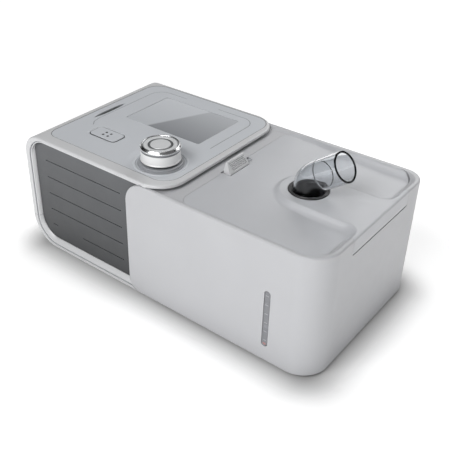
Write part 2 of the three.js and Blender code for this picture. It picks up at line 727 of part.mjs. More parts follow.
place('water_tank', 'clear', cut(
  join(
    loft(
      'z',
      [TANK.bottom, tankOutline(-1.5)],
      [TANK.bottom + 2, tankOutline(0)],
      [TANK.top, tankOutline(0)],
    ),
    prism('z', TANK.top - 2.4, TANK.top, tankOutline(3)),
  ),
  prism('z', TANK.bottom + 2.4, TANK.top + 1, tankOutline(-2)),
  prism('z', 0, 20, plateOutline(38)),
  cylinder('x', PORT.y, PORT.z, 10, TANK.left - 5, TANK.left + 5),
));

place('tank_heat_plate', 'steel', join(
  prism('z', TANK.bottom, TANK.bottom + 3, plateOutline(37.6)),
  prism('z', TANK.bottom + 2.7, TANK.bottom + 3.5, plateOutline(41)),
));

place('inlet_duct', 'rubber', (() => {
  const start = HUM_LEFT + 0.6;
  const end = TANK.left - GAP;
  const ribs = row(3, (i) => (
    cylinder('x', PORT.y, PORT.z, 15.4, start + 8 + 6 * i, start + 10.5 + 6 * i)
  ));
  return cut(
    join(cylinder('x', PORT.y, PORT.z, 13.8, start, end), ...ribs),
    cylinder('x', PORT.y, PORT.z, 11.4, start - 1, end + 1),
  );
})());

// ---------------------------------------------------------------- humidifier: lid, latch and outlet

/** Lid surface: level by the deck, easing down to the two pockets at the right. */
function lidHeight(x) {
  const along = THREE.MathUtils.smoothstep(x, LID.left + 6, LID.right - 16);
  return LID_LEFT_Z + (LID_RIGHT_Z - LID_LEFT_Z) * along;
}

/** Tongue that carries the outlet: round end about the outlet, straight sides to the right. */
function tongueOutline(radius) {
  const end = arc(OUTLET.x, OUTLET.y, radius, Math.PI / 2, 1.5 * Math.PI, 14);
  return [...end, [RIGHT - 4, -radius], [RIGHT - 4, radius]];
}

place('lid', 'lid', (() => {
  const surface = [];
  for (let i = 0; i <= 10; i += 1) {
    const x = RIGHT + 1 - (RIGHT + 2 - LID.left) * i / 10;
    surface.push([x, lidHeight(x)]);
  }
  const underside = [[LID.left - 1, LID_PLATE_Z], [RIGHT + 1, LID_PLATE_Z]];
  const slab = prism('y', FRONT, BACK, [...underside, ...surface]);
  const recess = join(prism('z', 91, 93.5, lidOutline(0)), lidRecess(0, RIM_Z + 0.5));
  const tongue = loft(
    'z',
    [92, tongueOutline(22.4)],
    [94.8, tongueOutline(21.7)],
    [96.6, tongueOutline(21.3)],
    [97.7, tongueOutline(20.7)],
    [RIM_Z, tongueOutline(19.6)],
  );
  const tab = cut(
    shellBody.intersect(box(RIGHT - 9, RIGHT + 1, TAB.front, TAB.back, TAB.bottom, RIM_Z + 1)),
    lidRecess(0, RIM_Z + 1),
    box(RIGHT - 10, RIGHT - 2.4, TAB.front - 1, TAB.back + 1, 80, LID_PLATE_Z),
  );
  const latchSlot = box(LID.left - 1, LID.left + 7.4, LATCH.front - 0.4, LATCH.back + 0.4, 90, RIM_Z);
  const catchNotch = box(LID.left - 1, LID.left + 2.4, LATCH.back, LATCH.back + 5, 90, RIM_Z);
  return cut(
    join(slab.intersect(recess), tongue, tab),
    cylinder('z', OUTLET.x, OUTLET.y, 14.6, 90, RIM_Z + 1, 32),
    latchSlot,
    catchNotch,
    cylinder('y', HINGE.x, HINGE.z, HINGE.pin + GAP, TAB.front - 1, TAB.back + 1, 12),
    cylinder('y', LATCH.pivotX, LATCH.pivotZ, 1.3, LATCH.front - 3, LATCH.back + 3, 12),
  );
})());

place('lid_hinge_pin', 'steel', (
  cylinder('y', HINGE.x, HINGE.z, HINGE.pin, TAB.front - 6.5, TAB.back + 6.5, 12)
));

place('lid_liner', 'clear', cut(
  prism('z', 86.4, LID_PLATE_Z - GAP, roundedRect(28, 124, LID.front + 2, LID.back - 2, 10)),
  cylinder('z', OUTLET.x, OUTLET.y, 14.6, 80, 100, 32),
));

place('lid_seal', 'rubber', cut(
  prism('z', TANK.top + GAP, 86.1, tankOutline(2)),
  prism('z', TANK.top - 1, 87, tankOutline(-2)),
));

place('lid_latch', 'lid', (() => {
  const hook = [[20.5, 92.2], [21, 87.6], [22.2, 86.6], [23.4, 87.4], [23.8, 91.2]];
  const tab = [[26.9, 92.6], [26.9, 97.3], [21.3, 104.3], [20.3, 104.5]];
  const profile = [...hook, ...tab];
  const body = loft('y', [LATCH.front, profile], [LATCH.back, profile]);
  const chamfer = loft(
    'y',
    [LATCH.front - 1, [[18, 97.2], [30, 97.2], [30, 110], [18, 110]]],
    [LATCH.front + 3.2, [[18, 104.6], [30, 104.6], [30, 110], [18, 110]]],
  );
  const trunnion = cylinder('y', LATCH.pivotX, LATCH.pivotZ, 1, LATCH.front - 2.6, LATCH.back + 2.6, 12);
  return join(cut(body, chamfer), trunnion);
})());

place('outlet_seal', 'rubber', turned(OUTLET.x, OUTLET.y, [
  [11.4, 87],
  [14.2, 87],
  [14.2, RIM_Z + 0.1],
  [13.6, RIM_Z + 0.7],
  [12.4, RIM_Z + 0.7],
  [11.4, RIM_Z - 0.4],
]));

const BEND_RADIUS = 13;
const bendAngle = Math.PI / 2 - OUTLET_TILT;
const tangent = BEND_RADIUS * Math.tan(bendAngle / 2); // from the bend's ends to where the axes meet
const rise = new THREE.Vector3(Math.cos(OUTLET_TILT), 0, Math.sin(OUTLET_TILT));
const corner = new THREE.Vector3(OUTLET.x, OUTLET.y, OUTLET_AXIS_Z);

/** Round bar along the elbow's centre line, from z = low to the given reach past the corner. */
function elbowBar(radius, low, reach, sides = 24) {
  const stations = [];
  stations.push([new THREE.Vector3(OUTLET.x, OUTLET.y, low), 0]);
  const steps = 6;
  for (let i = 0; i <= steps; i += 1) {
    const turn = bendAngle * i / steps;
    const x = OUTLET.x + BEND_RADIUS * (1 - Math.cos(turn));
    const z = OUTLET_AXIS_Z - tangent + BEND_RADIUS * Math.sin(turn);
    stations.push([new THREE.Vector3(x, OUTLET.y, z), turn]);
  }
  stations.push([corner.clone().addScaledVector(rise, reach), bendAngle]);
  return skinned(stations, radius, sides);
}

/** Round bar from one reach to another along the straight outlet tube. */
function tubeBar(radius, from, to, sides = 24) {
  const stations = [from, to].map((reach) => [corner.clone().addScaledVector(rise, reach), bendAngle]);
  return skinned(stations, radius, sides);
}

/** Skin over circles: each station is a centre and the tilt of its circle about Y. */
function skinned(stations, radius, sides) {
  const positions = [];
  const faces = [];
  stations.forEach(([centre, turn]) => {
    for (let i = 0; i < sides; i += 1) {
      const angle = i * 2 * Math.PI / sides;
      const across = radius * Math.cos(angle);
      positions.push(
        centre.x + across * Math.cos(turn),
        centre.y + radius * Math.sin(angle),
        centre.z - across * Math.sin(turn),
      );
    }
  });
  for (let s = 0; s + 1 < stations.length; s += 1) {
    for (let i = 0; i < sides; i += 1) {
      const next = (i + 1) % sides;
      const low = s * sides;
      const high = low + sides;
      faces.push([low + i, low + next, high + next], [low + i, high + next, high + i]);
    }
  }
  const last = (stations.length - 1) * sides;
  for (let i = 1; i + 1 < sides; i += 1) {
    faces.push([0, i + 1, i], [last, last + i, last + i + 1]);
  }
  const geometry = new THREE.BufferGeometry();
  geometry.setAttribute('position', new THREE.Float32BufferAttribute(positions, 3));
  geometry.setIndex(faces.flat());
  return fromGeometry(geometry);
}

const SOCKET_START = 12.5; // where the outlet tube begins, past the corner
place('outlet_elbow', 'clear', cut(
  join(elbowBar(OUTLET.radius, 88, SOCKET_START - GAP), elbowBar(10.1, 89, SOCKET_START + 6)),
  elbowBar(8.9, 87, SOCKET_START + 7),
));

place('outlet_tube', 'clear', cut(
  tubeBar(OUTLET.radius, SOCKET_START, OUTLET_REACH),
  tubeBar(10.1 + GAP, SOCKET_START - 1, SOCKET_START + 6.4),
  tubeBar(OUTLET.bore, SOCKET_START, OUTLET_REACH + 1),
));

export default ventilator;
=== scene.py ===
"""Looks of the bench-top ventilator with its docked humidifier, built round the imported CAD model.

Sizes in this script are millimetres; MM turns them into metres where a mesh is made.
+X runs from the main unit to the humidifier, +Y to the back, +Z up.
"""

import json
import math
from collections import namedtuple

import bpy
import bmesh
from mathutils import Euler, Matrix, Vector


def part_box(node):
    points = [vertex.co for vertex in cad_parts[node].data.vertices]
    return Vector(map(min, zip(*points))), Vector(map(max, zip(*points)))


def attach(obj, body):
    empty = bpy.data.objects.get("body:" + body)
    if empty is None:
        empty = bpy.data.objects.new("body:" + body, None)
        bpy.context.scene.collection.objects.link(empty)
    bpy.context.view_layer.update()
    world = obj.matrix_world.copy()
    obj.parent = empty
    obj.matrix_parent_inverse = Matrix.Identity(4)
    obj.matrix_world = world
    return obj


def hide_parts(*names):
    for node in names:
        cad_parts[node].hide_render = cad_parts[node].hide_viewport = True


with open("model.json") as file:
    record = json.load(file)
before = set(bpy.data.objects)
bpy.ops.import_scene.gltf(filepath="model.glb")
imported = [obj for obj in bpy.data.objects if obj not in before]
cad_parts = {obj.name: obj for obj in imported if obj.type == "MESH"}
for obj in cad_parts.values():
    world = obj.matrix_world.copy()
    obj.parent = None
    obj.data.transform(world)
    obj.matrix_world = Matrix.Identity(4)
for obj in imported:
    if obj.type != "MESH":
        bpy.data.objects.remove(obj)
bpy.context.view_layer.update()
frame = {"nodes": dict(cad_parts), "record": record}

MM = 0.001
GAP = 0.3  # clearance between pieces that meet
SKIN = 0.02  # keeps joined surfaces from coinciding
Box = namedtuple("Box", "x0 x1 y0 y1 z0 z1")


def extent(node):
    """A CAD node's box, in millimetres."""
    lo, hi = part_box(node)
    return Box(lo.x / MM, hi.x / MM, lo.y / MM, hi.y / MM, lo.z / MM, hi.z / MM)


def middle(box):
    return (box.x0 + box.x1) / 2, (box.y0 + box.y1) / 2


UPPER = extent("upper_housing")
LOWER = extent("lower_housing")
SHELL = extent("humidifier_shell")
PANEL = extent("front_panel")
FASCIA = extent("top_panel")
SCREEN = extent("display_window")
BUTTON = extent("menu_button")
CARD = extent("memory_card")
LID = extent("lid")
TANK = extent("tank_heat_plate")
LATCH = extent("lid_latch")
SEAL = extent("outlet_seal")
WINDOW = extent("level_window")
REAR = extent("rear_panel")
FILTER = extent("filter_cover")

LEFT = UPPER.x0
RIGHT = SHELL.x1
FRONT = UPPER.y0
BACK = UPPER.y1
DECK_Z = UPPER.z1
DECK_UNDER_Z = 98.6
DECK_RIGHT = UPPER.x1
CASE_RIGHT = LOWER.x1
HUM_LEFT = CASE_RIGHT + 0.5
RIM_Z = SHELL.z1
POCKET_Z = FASCIA.z0 - GAP
WALL = 2.6
KNOB_X, KNOB_Y = middle(extent("knob_cap"))
BUTTON_X, BUTTON_Y = middle(BUTTON)
CARD_X, CARD_Y = middle(CARD)
OUTLET_X, OUTLET_Y = middle(SEAL)
PORT_Y, PORT_Z = 30.5, 64  # centre of the air port between the two units
PLUG_ROOM = (-30.5, -9.5, 14)  # Y range and bottom of the openings for the dock connector
SPLIT_Z = 26.5  # where the two housings meet


# ---- outlines

def arc(cx, cy, radius, start, end, steps):
    angles = [start + (end - start) * i / steps for i in range(steps + 1)]
    return [(cx + radius * math.cos(a), cy + radius * math.sin(a)) for a in angles]


def rounded_rect(x0, x1, y0, y1, corners, steps=12):
    """corners: radii at the low-low, high-low, high-high and low-high corner, or one for all."""
    radii = corners if isinstance(corners, (list, tuple)) else [corners] * 4
    a, b, c, d = [max(radius, 0.05) for radius in radii]
    quarter = math.pi / 2
    return [
        *arc(x0 + a, y0 + a, a, 2 * quarter, 3 * quarter, steps),
        *arc(x1 - b, y0 + b, b, 3 * quarter, 4 * quarter, steps),
        *arc(x1 - c, y1 - c, c, 0, quarter, steps),
        *arc(x0 + d, y1 - d, d, quarter, 2 * quarter, steps),
    ]


ACROSS = {"x": "yz", "y": "xz", "z": "xy"}  # the two directions across each axis


def inset_rect(here, inset, corners, steps=12, axis="z"):
    """Rounded outline of a box seen along an axis, drawn in by the inset."""
    a0, a1, b0, b1 = [getattr(here, side + end) for side in ACROSS[axis] for end in "01"]
    return rounded_rect(a0 + inset, a1 - inset, b0 + inset, b1 - inset, corners, steps)


def circle(cx, cy, radius, sides=64):
    return arc(cx, cy, radius, 0, 2 * math.pi, sides)[:-1]


def between(one, other, share):
    """Outline part of the way from one outline to another with as many points."""
    return [(a + (c - a) * share, b + (d - b) * share) for (a, b), (c, d) in zip(one, other)]


def soften(points, radius, steps=4):
    """Rounds every corner of a closed outline by a curve that begins radius away from it."""
    made = []
    for i, point in enumerate(points):
        here = Vector(point)
        before = Vector(points[i - 1]) - here
        after = Vector(points[(i + 1) % len(points)]) - here
        start = here + before * min(radius / before.length, 0.45)
        end = here + after * min(radius / after.length, 0.45)
        for k in range(steps + 1):
            t = k / steps
            made.append(tuple(start * (1 - t) ** 2 + here * 2 * t * (1 - t) + end * t ** 2))
    return made


def stroke(path, half_width):
    """Outline of a line of some width along an open path."""
    left, right = [], []
    for i, point in enumerate(path):
        here = Vector(point)
        along = Vector(path[min(i + 1, len(path) - 1)]) - Vector(path[max(i - 1, 0)])
        across = Vector((-along.y, along.x)).normalized() * half_width
        left.append(tuple(here + across))
        right.append(tuple(here - across))
    return right + left[::-1]


# ---- meshes

PLACE = {
    "x": lambda a, b, level: (level, a, b),
    "y": lambda a, b, level: (a, level, b),
    "z": lambda a, b, level: (a, b, level),
}


def solid(name, points, faces):
    """A closed mesh from points in millimetres, its faces turned outwards."""
    mesh = bpy.data.meshes.new(name)
    mesh.from_pydata([Vector(point) * MM for point in points], [], faces)
    work = bmesh.new()
    work.from_mesh(mesh)
    bmesh.ops.recalc_face_normals(work, faces=work.faces)
    work.to_mesh(mesh)
    work.free()
    piece = bpy.data.objects.new(name, mesh)
    bpy.context.scene.collection.objects.link(piece)
    return piece


def loft(name, axis, sections):
    """Solid skinned over [level, outline] sections with equal numbers of points."""
    count = len(sections[0][1])
    points = [PLACE[axis](a, b, level) for level, outline in sections for a, b in outline]
    faces = [tuple(range(count)), tuple(range(len(points) - count, len(points)))]
    for s in range(len(sections) - 1):
        for i in range(count):
            low, high, nxt = s * count, (s + 1) * count, (i + 1) % count
            faces.append((low + i, low + nxt, high + nxt, high + i))
    return solid(name, points, faces)


def prism(name, axis, low, high, outline):
    return loft(name, axis, [(low, outline), (high, outline)])


def rounded_prism(name, axis, low, high, outline, low_round=0.0, high_round=0.0, steps=6):
    """Prism with rounded edges at its ends. outline: a function of the inset."""
    sections = []
    angles = [math.pi / 2 * i / steps for i in range(steps + 1)]
    for a in angles if low_round else [math.pi / 2]:
        sections.append((low + low_round * (1 - math.cos(a)), outline(low_round * (1 - math.sin(a)))))
    for a in angles[::-1] if high_round else [math.pi / 2]:
        level = high - high_round * (1 - math.cos(a))
        sections.append((level, outline(high_round * (1 - math.sin(a)))))
    return loft(name, axis, sections)


def box(name, x0, x1, y0, y1, z0, z1):
    return prism(name, "z", z0, z1, [(x0, y0), (x1, y0), (x1, y1), (x0, y1)])


def skinned(name, points, rings):
    """Closed solid over rings of point numbers, the last of them joined to the first."""
    faces = []
    for here, following in zip(rings, rings[1:] + rings[:1]):
        for i in range(len(here)):
            k = (i + 1) % len(here)
            face = tuple(dict.fromkeys([here[i], here[k], following[k], following[i]]))
            if len(face) > 2:
                faces.append(face)
    return solid(name, points, faces)


def turned(name, axis, a, b, profile, sides=96):
    """Solid of revolution about the line along axis through a, b. profile: closed [radius, level]."""
    points, rings = [], []
    for radius, level in profile:
        outline = circle(a, b, radius, sides) if radius >= 0.001 else [(a, b)]
        ring = [len(points) + i for i in range(len(outline))]
        rings.append(ring * (sides // len(ring)))
        points += [PLACE[axis](u, v, level) for u, v in outline]
    return skinned(name, points, rings)


def copy_of(piece, name):
    twin = piece.copy()
    twin.data = piece.data.copy()
    twin.name = name
    bpy.context.scene.collection.objects.link(twin)
    return twin


def combine(piece, operation, tools):
    """Joins, cuts or intersects a piece with tools, which are used up."""
    for tool in tools:
        step = piece.modifiers.new("combine", "BOOLEAN")
        step.operation = operation
        step.solver = "MANIFOLD"
        step.object = tool
    shaped = piece.evaluated_get(bpy.context.evaluated_depsgraph_get())
    old = piece.data
    piece.data = bpy.data.meshes.new_from_object(shaped)
    piece.modifiers.clear()
    bpy.data.meshes.remove(old)
    for tool in tools:
        bpy.data.objects.remove(tool)
    return piece


def cut(piece, *tools):
    return combine(piece, "DIFFERENCE", tools)


def join(piece, *tools):
    return combine(piece, "UNION", tools)


def keep(piece, tool):
    return combine(piece, "INTERSECT", [tool])


SLOTS = {part["node"]: part["material_slot"] for part in frame["record"]["subparts"]}
BODIES = {node: body for body, nodes in frame["record"]["behaviour"]["bodies"].items() for node in nodes}


def dress(piece, look, body, sharp=32):
    """Gives a finished piece its shading, material and body."""
    piece.data.materials.clear()
    piece.data.materials.append(look)
    piece.data.shade_smooth()
    piece.data.set_sharp_from_angle(angle=math.radians(sharp))
    shade = piece.modifiers.new("shade", "WEIGHTED_NORMAL")
    shade.keep_sharp = True
    shade.weight = 90
    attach(piece, body)


def stand_for(piece, look, node, sharp=32):
    """Dresses a piece that replaces a CAD node, with the body of that node, and hides that node."""
    dress(piece, look, BODIES[node], sharp)
    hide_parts(node)


# ---- materials

class Nodes:
    """A shader's node tree, with short ways to add to it."""

    def __init__(self, owner):
        owner.use_nodes = True
        self.tree = owner.node_tree

    def node(self, kind, inputs=None, **settings):
        """New node, its inputs linked to sockets or given values."""
        made = self.tree.nodes.new(kind)
        for key, value in settings.items():
            setattr(made, key, value)
        for key, value in (inputs or {}).items():
            self.feed(made, key, value)
        return made

    def feed(self, node, name, value):
        if isinstance(value, bpy.types.NodeSocket):
            self.tree.links.new(value, node.inputs[name])
        else:
            node.inputs[name].default_value = value

    def number(self, operation, *values):
        return self.node("ShaderNodeMath", dict(enumerate(values)), operation=operation).outputs[0]

    def vector(self, operation, *values):
        made = self.node("ShaderNodeVectorMath", dict(enumerate(values)), operation=operation)
        return made.outputs["Value" if operation in ("LENGTH", "DOT_PRODUCT") else "Vector"]

    def ranged(self, value, low, high, start=0.0, end=1.0, **settings):
        """Numbers from start to end, as the value goes from low to high."""
        inputs = {"Value": value, "From Min": low, "From Max": high, "To Min": start, "To Max": end}
        return self.node("ShaderNodeMapRange", inputs, **settings).outputs["Result"]


class Look(Nodes):
    """A procedural material under construction, on object coordinates in metres."""

    def __init__(self, name, color, roughness, **sockets):
        self.material = bpy.data.materials.new(name)
        super().__init__(self.material)
        self.material.diffuse_color = (*color, 1)
        self.shader = self.tree.nodes["Principled BSDF"]
        self.color = color
        self.show("Base Color", (*color, 1))
        self.show("Roughness", roughness)
        for socket, value in sockets.items():
            self.show(socket.replace("_", " "), value)
        self.coords = self.node("ShaderNodeTexCoord").outputs["Object"]

    def show(self, name, value):
        """Feeds an input of the shader."""
        self.feed(self.shader, name, value)

    def along(self, axis):
        """Object coordinate along one axis."""
        return self.node("ShaderNodeSeparateXYZ", {"Vector": self.coords}).outputs[axis]

    def noise(self, size, detail=2.0, vector=None):
        """Noise with features of about that size, in millimetres."""
        inputs = {"Vector": vector or self.coords, "Scale": 1 / (size * MM), "Detail": detail}
        return self.node("ShaderNodeTexNoise", inputs).outputs["Fac"]

    def spread(self, noise, low=0.0, high=1.0):
        """Turns noise into numbers between low and high."""
        return self.ranged(noise, 0.3, 0.7, low, high)

    def mix(self, factor, one, other):
        """Colour between two colours."""
        inputs = {"Factor": factor, "A": one, "B": other}
        return self.node("ShaderNodeMix", inputs, data_type="RGBA").outputs["Result"]

    def tint(self, value, low, high):
        """Base colour that varies in brightness between low and high times the colour."""
        darker, lighter = [(*[c * share for c in self.color], 1) for share in (low, high)]
        self.show("Base Color", self.mix(value, darker, lighter))

    def rough(self, noise, low, high):
        """Roughness that varies between low and high."""
        self.show("Roughness", self.spread(noise, low, high))

    def bump(self, height, depth):
        """Bump of that depth, in millimetres."""
        inputs = {"Height": height, "Distance": depth * MM, "Strength": 1.0}
        self.show("Normal", self.node("ShaderNodeBump", inputs).outputs["Normal"])


def moulded(name, color, roughness, **sockets):
    """Fine satin moulded plastic: spark-eroded grain, and slow changes of tone and gloss."""
    look = Look(name, color, roughness, **sockets)
    look.tint(look.spread(look.noise(38, 3)), 0.985, 1.015)
    look.rough(look.noise(9, 4), roughness - 0.03, roughness + 0.04)
    look.bump(look.noise(0.35, 4), 0.004)
    return look.material


def clear(name, color, roughness):
    """Clear moulded plastic with faint flow marks."""
    look = Look(name, color, roughness, Transmission_Weight=1.0, IOR=1.49)
    look.rough(look.noise(6, 3), roughness, roughness + 0.03)
    look.bump(look.noise(4.5, 2), 0.01)
    return look.material


def rubbery(name, color, roughness):
    look = Look(name, color, roughness, Sheen_Weight=0.15)
    look.tint(look.spread(look.noise(5, 4)), 0.85, 1.2)
    look.rough(look.noise(2, 3), roughness - 0.05, roughness + 0.1)
    look.bump(look.noise(0.5, 3), 0.01)
    return look.material


def turned_metal(name, color, roughness, pitch=0.25, depth=0.004, **sockets):
    """Metal or plating with the fine rings that turning leaves about the knob's axis."""
    look = Look(name, color, roughness, **sockets)
    shifted = look.vector("SUBTRACT", look.coords, (KNOB_X * MM, KNOB_Y * MM, 0))
    radius = look.vector("LENGTH", look.vector("MULTIPLY", shifted, (1, 1, 0)))
    inputs = {"W": radius, "Scale": 1 / (pitch * MM), "Detail": 3}
    rings = look.node("ShaderNodeTexNoise", inputs, noise_dimensions="1D").outputs["Fac"]
    look.tint(look.spread(rings), 0.93, 1.05)
    look.rough(rings, roughness - 0.05, roughness + 0.07)
    look.bump(rings, depth)
    return look.material


def metal(name, color, roughness, scratch=0.3):
    """Plain machined metal with fine drawn marks along X."""
    look = Look(name, color, roughness, Metallic=1.0)
    stretched = look.node("ShaderNodeMapping", {"Vector": look.coords, "Scale": (0.05, 1, 1)})
    marks = look.noise(scratch, 3, stretched.outputs["Vector"])
    look.rough(marks, roughness - 0.06, roughness + 0.1)
    look.bump(marks, 0.004)
    return look.material


def circuit(name, color):
    """Solder mask with tracks under it."""
    look = Look(name, color, 0.35, Coat_Weight=0.3)
    inputs = {"Vector": look.coords, "Scale": 1 / (3.5 * MM)}
    cells = look.node("ShaderNodeTexVoronoi", inputs, distance="CHEBYCHEV").outputs["Distance"]
    look.tint(cells, 0.75, 1.6)
    look.bump(cells, 0.03)
    return look.material


def fibrous(name, color, size, depth):
    """Felt or open-cell foam."""
    look = Look(name, color, 0.9, Sheen_Weight=0.3)
    fibres = look.noise(size, 6)
    look.tint(look.spread(fibres), 0.7, 1.1)
    look.bump(fibres, depth)
    return look.material


def panel_with_painted_shade(name, color):
    """Fine dark texture, with painted reflection and shade: lighter at the top, darker towards the bottom."""
    look = Look(name, color, 0.42)
    # Painted shade: the tone falls from the top of the panel to its bottom.
    level = look.ranged(look.along("Z"), PANEL.z0 * MM, PANEL.z1 * MM)
    cloudy = look.spread(look.noise(30, 3), -0.04, 0.04)
    look.tint(look.number("ADD", level, cloudy), 0.46, 1.12)
    look.rough(look.noise(7, 4), 0.38, 0.46)
    look.bump(look.noise(0.4, 4), 0.006)
    return look.material


REFLECTION_EDGE_X = -67.9  # where the edge of the painted reflection on the display meets y = 0
REFLECTION_LEAN = 0.461  # how far that edge moves along X for each step along Y
REFLECTION_FADE = 1.2  # how far it fades on either side


def display(name):
    """Tinted window over an unlit display, with a painted reflection: a pale wedge, and lighter towards the
    back.
    """
    look = Look(name, (0.24, 0.25, 0.27), 0.24)
    # Painted reflection: a pale wedge past a leaning edge, and both tones lighter towards the back.
    lean = look.number("MULTIPLY_ADD", look.along("Y"), -REFLECTION_LEAN, look.along("X"))
    past = look.ranged(lean, (REFLECTION_EDGE_X - REFLECTION_FADE) * MM, (REFLECTION_EDGE_X + REFLECTION_FADE) * MM)
    depth = look.ranged(look.along("Y"), SCREEN.y0 * MM, SCREEN.y1 * MM)
    reflected = look.mix(depth, (0.52, 0.54, 0.568, 1), (0.63, 0.65, 0.68, 1))
    beside_reflection = look.mix(depth, (0.275, 0.286, 0.303, 1), (0.50, 0.515, 0.54, 1))
    look.show("Base Color", look.mix(past, reflected, beside_reflection))
    look.rough(look.noise(12, 2), 0.22, 0.27)
    look.bump(look.noise(0.3, 2), 0.001)
    return look.material

CASING = moulded("casing_white", (0.62, 0.625, 0.635), 0.33, Coat_Weight=0.15, Coat_Roughness=0.15)
COVER = moulded("cover_white", (0.50, 0.505, 0.522), 0.34)
FACE = moulded("fascia_grey", (0.58, 0.60, 0.63), 0.34)
LID_GREY = moulded("lid_grey", (0.52, 0.53, 0.553), 0.34)
DARK_PANEL = panel_with_painted_shade("panel_graphite", (0.088, 0.092, 0.098))
DISPLAY = display("display_tint_painted_reflection")
PEARL = turned_metal("pearl_silver", (0.84, 0.84, 0.84), 0.3, 0.4, 0.002, Metallic=0.1)
CHROME = turned_metal("plated_chrome", (0.80, 0.81, 0.82), 0.26, 2.5, 0.0003, Metallic=1.0)
SATIN = turned_metal("satin_silver", (0.74, 0.75, 0.76), 0.42, Metallic=0.2)
BLACK = moulded("black_plastic", (0.03, 0.031, 0.034), 0.4)
# Painted shadow: dark grey for a seam and a joint line that are only shade.
SHADOW_GREY = moulded("painted_shadow_grey", (0.22, 0.23, 0.25), 0.4)
COLLAR_GREY = moulded("flange_grey", (0.34, 0.35, 0.37), 0.35)
# Dark metal for the knob's groove and the ring in its cap: painted reflection and shade.
PAINTED_SHADE_METAL = turned_metal("painted_shade_metal", (0.30, 0.31, 0.32), 0.3, 0.6, 0.001, Metallic=0.8)
LINE_GREY = moulded("line_grey", (0.20, 0.21, 0.225), 0.5)
RUBBER = rubbery("black_rubber", (0.022, 0.022, 0.024), 0.38)
CLEAR = clear("clear_plastic", (0.93, 0.95, 0.97), 0.03)
# Dark clear plastic for the outlet's open end: painted shade of the dark edge that clear plastic shows.
RIM_PAINTED_SHADE = clear("clear_rim_painted_shade", (0.10, 0.11, 0.12), 0.1)
WINDOW_TINT = moulded("smoke_window", (0.20, 0.205, 0.22), 0.25, Coat_Weight=0.4)
TICK = moulded("tick_grey", (0.33, 0.335, 0.35), 0.3)
MARK = moulded("level_mark", (0.36, 0.19, 0.19), 0.4)
BOARD = circuit("solder_mask", (0.02, 0.12, 0.06))
CABLE = moulded("flat_cable", (0.55, 0.53, 0.47), 0.45)
NATURAL = moulded("natural_plastic", (0.62, 0.61, 0.57), 0.45)
STEEL = metal("drawn_steel", (0.56, 0.57, 0.58), 0.3)
ALUMINIUM = metal("milled_aluminium", (0.72, 0.73, 0.74), 0.35, 0.5)
FOAM = fibrous("muffler_foam", (0.06, 0.06, 0.065), 0.8, 0.35)
FELT = fibrous("filter_felt", (0.80, 0.80, 0.77), 0.4, 0.12)


# ---- main unit: outlines

def case_outline(inset):
    """Front view of the casing."""
    corners = [25 - inset, 2, 2, 17 - inset]
    return rounded_rect(LEFT + inset, CASE_RIGHT - inset, LOWER.z0 + inset, DECK_Z - inset, corners, 20)


def lip_outline(inset):
    """Front opening of the casing, round the bezel."""
    bottom, top = LOWER.z0 + 3.2 + inset, DECK_Z - 1.7 - inset
    return rounded_rect(LEFT + 5 + inset, PANEL.x1 + 5.5, bottom, top, [21 - inset, 2, 2, 18 - inset], 20)


def flap_outline(inset):
    """Cover's reach over the front of the main unit. It runs on to the right, into the cover."""
    corners = [10 - inset, 0.5, 0.5, 17.5 - inset]
    return rounded_rect(SHELL.x0 + inset, HUM_LEFT + 8, SHELL.z0 + inset, RIM_Z - inset, corners, 20)


def flap_room(depth):
    """Tool that makes room for the flap."""
    return prism("flap_room", "y", FRONT - 1, FRONT + depth, flap_outline(-0.5))


def panel_outline(inset):
    return inset_rect(PANEL, inset, [17 - inset, 2, 2, 9.5 - inset], 20, "y")


def deck_outline(inset):
    corners = [2, 22 - inset, 22 - inset, 2]
    return rounded_rect(LEFT + 17, DECK_RIGHT - inset, FRONT + inset, BACK - inset, corners, 24)


def fascia_outline(inset):
    return inset_rect(FASCIA, inset, [10 - inset, 14 - inset, 14 - inset, 14 - inset], 20)


def button_outline(inset):
    return inset_rect(BUTTON, inset, 3.3 - inset, 8)


def screen_outline(inset):
    return inset_rect(SCREEN, inset, 1.5 - inset, 6)


def slot_outline(grow):
    """Slim pointed slot, widest in the middle."""
    half = 18
    steps = 16
    ys = [-half + 2 * half * i / steps for i in range(steps + 1)]
    width = [(1.1 + grow) * (1 - abs(y / half) ** 3) + 0.04 for y in ys]
    right = [(CARD_X + w, CARD_Y + y) for w, y in zip(width, ys)]
    left = [(CARD_X - w, CARD_Y + y) for w, y in zip(width, ys)]
    return right + left[::-1]


# ---- main unit: pieces

def casing():
    """Both housings in one: hollow, open at the front and back, with the deck that overhangs."""
    edge = 1.5
    body = rounded_prism(
        "casing", "y", FRONT + SKIN, BACK - SKIN, lambda inset: case_outline(SKIN + inset), edge, edge
    )
    deck = rounded_prism("deck", "z", DECK_UNDER_Z, DECK_Z, deck_outline, 0.7, edge)
    corners = [22, 1.5, 1.5, 14]
    inside = rounded_rect(LEFT + WALL, CASE_RIGHT - WALL, LOWER.z0 + WALL, DECK_Z - 3.6, corners, 16)
    return cut(
        join(body, deck),
        prism("hollow", "y", FRONT + 7, BACK + 1, inside),
        prism("opening", "y", FRONT - 1, FRONT + 7.1, lip_outline(0)),
        flap_room(2.8),
        turned("port", "x", PORT_Y, PORT_Z, [(0, CASE_RIGHT - 5), (12.5, CASE_RIGHT - 5), (12.5, 0), (0, 0)]),
        box("plug_room", CASE_RIGHT - 5, CASE_RIGHT + 1, *PLUG_ROOM, 26.1),
        box("deck_notch", DECK_RIGHT - 1.4, DECK_RIGHT + 1, 48.3, 49.6, DECK_UNDER_Z - 1, DECK_UNDER_Z + 1.6),
    )


def hole(outline):
    """Tool for a hole through the top of the casing."""
    return prism("hole", "z", 90, DECK_Z + 1, outline)


def foot_recesses(unit, bottom):
    """Tools for the round recesses that hold the four feet."""
    places = [middle(extent(f"{unit}_foot_{i}")) for i in range(1, 5)]
    return [prism("recess", "z", 0, bottom + 0.8, circle(*place, 6.8)) for place in places]


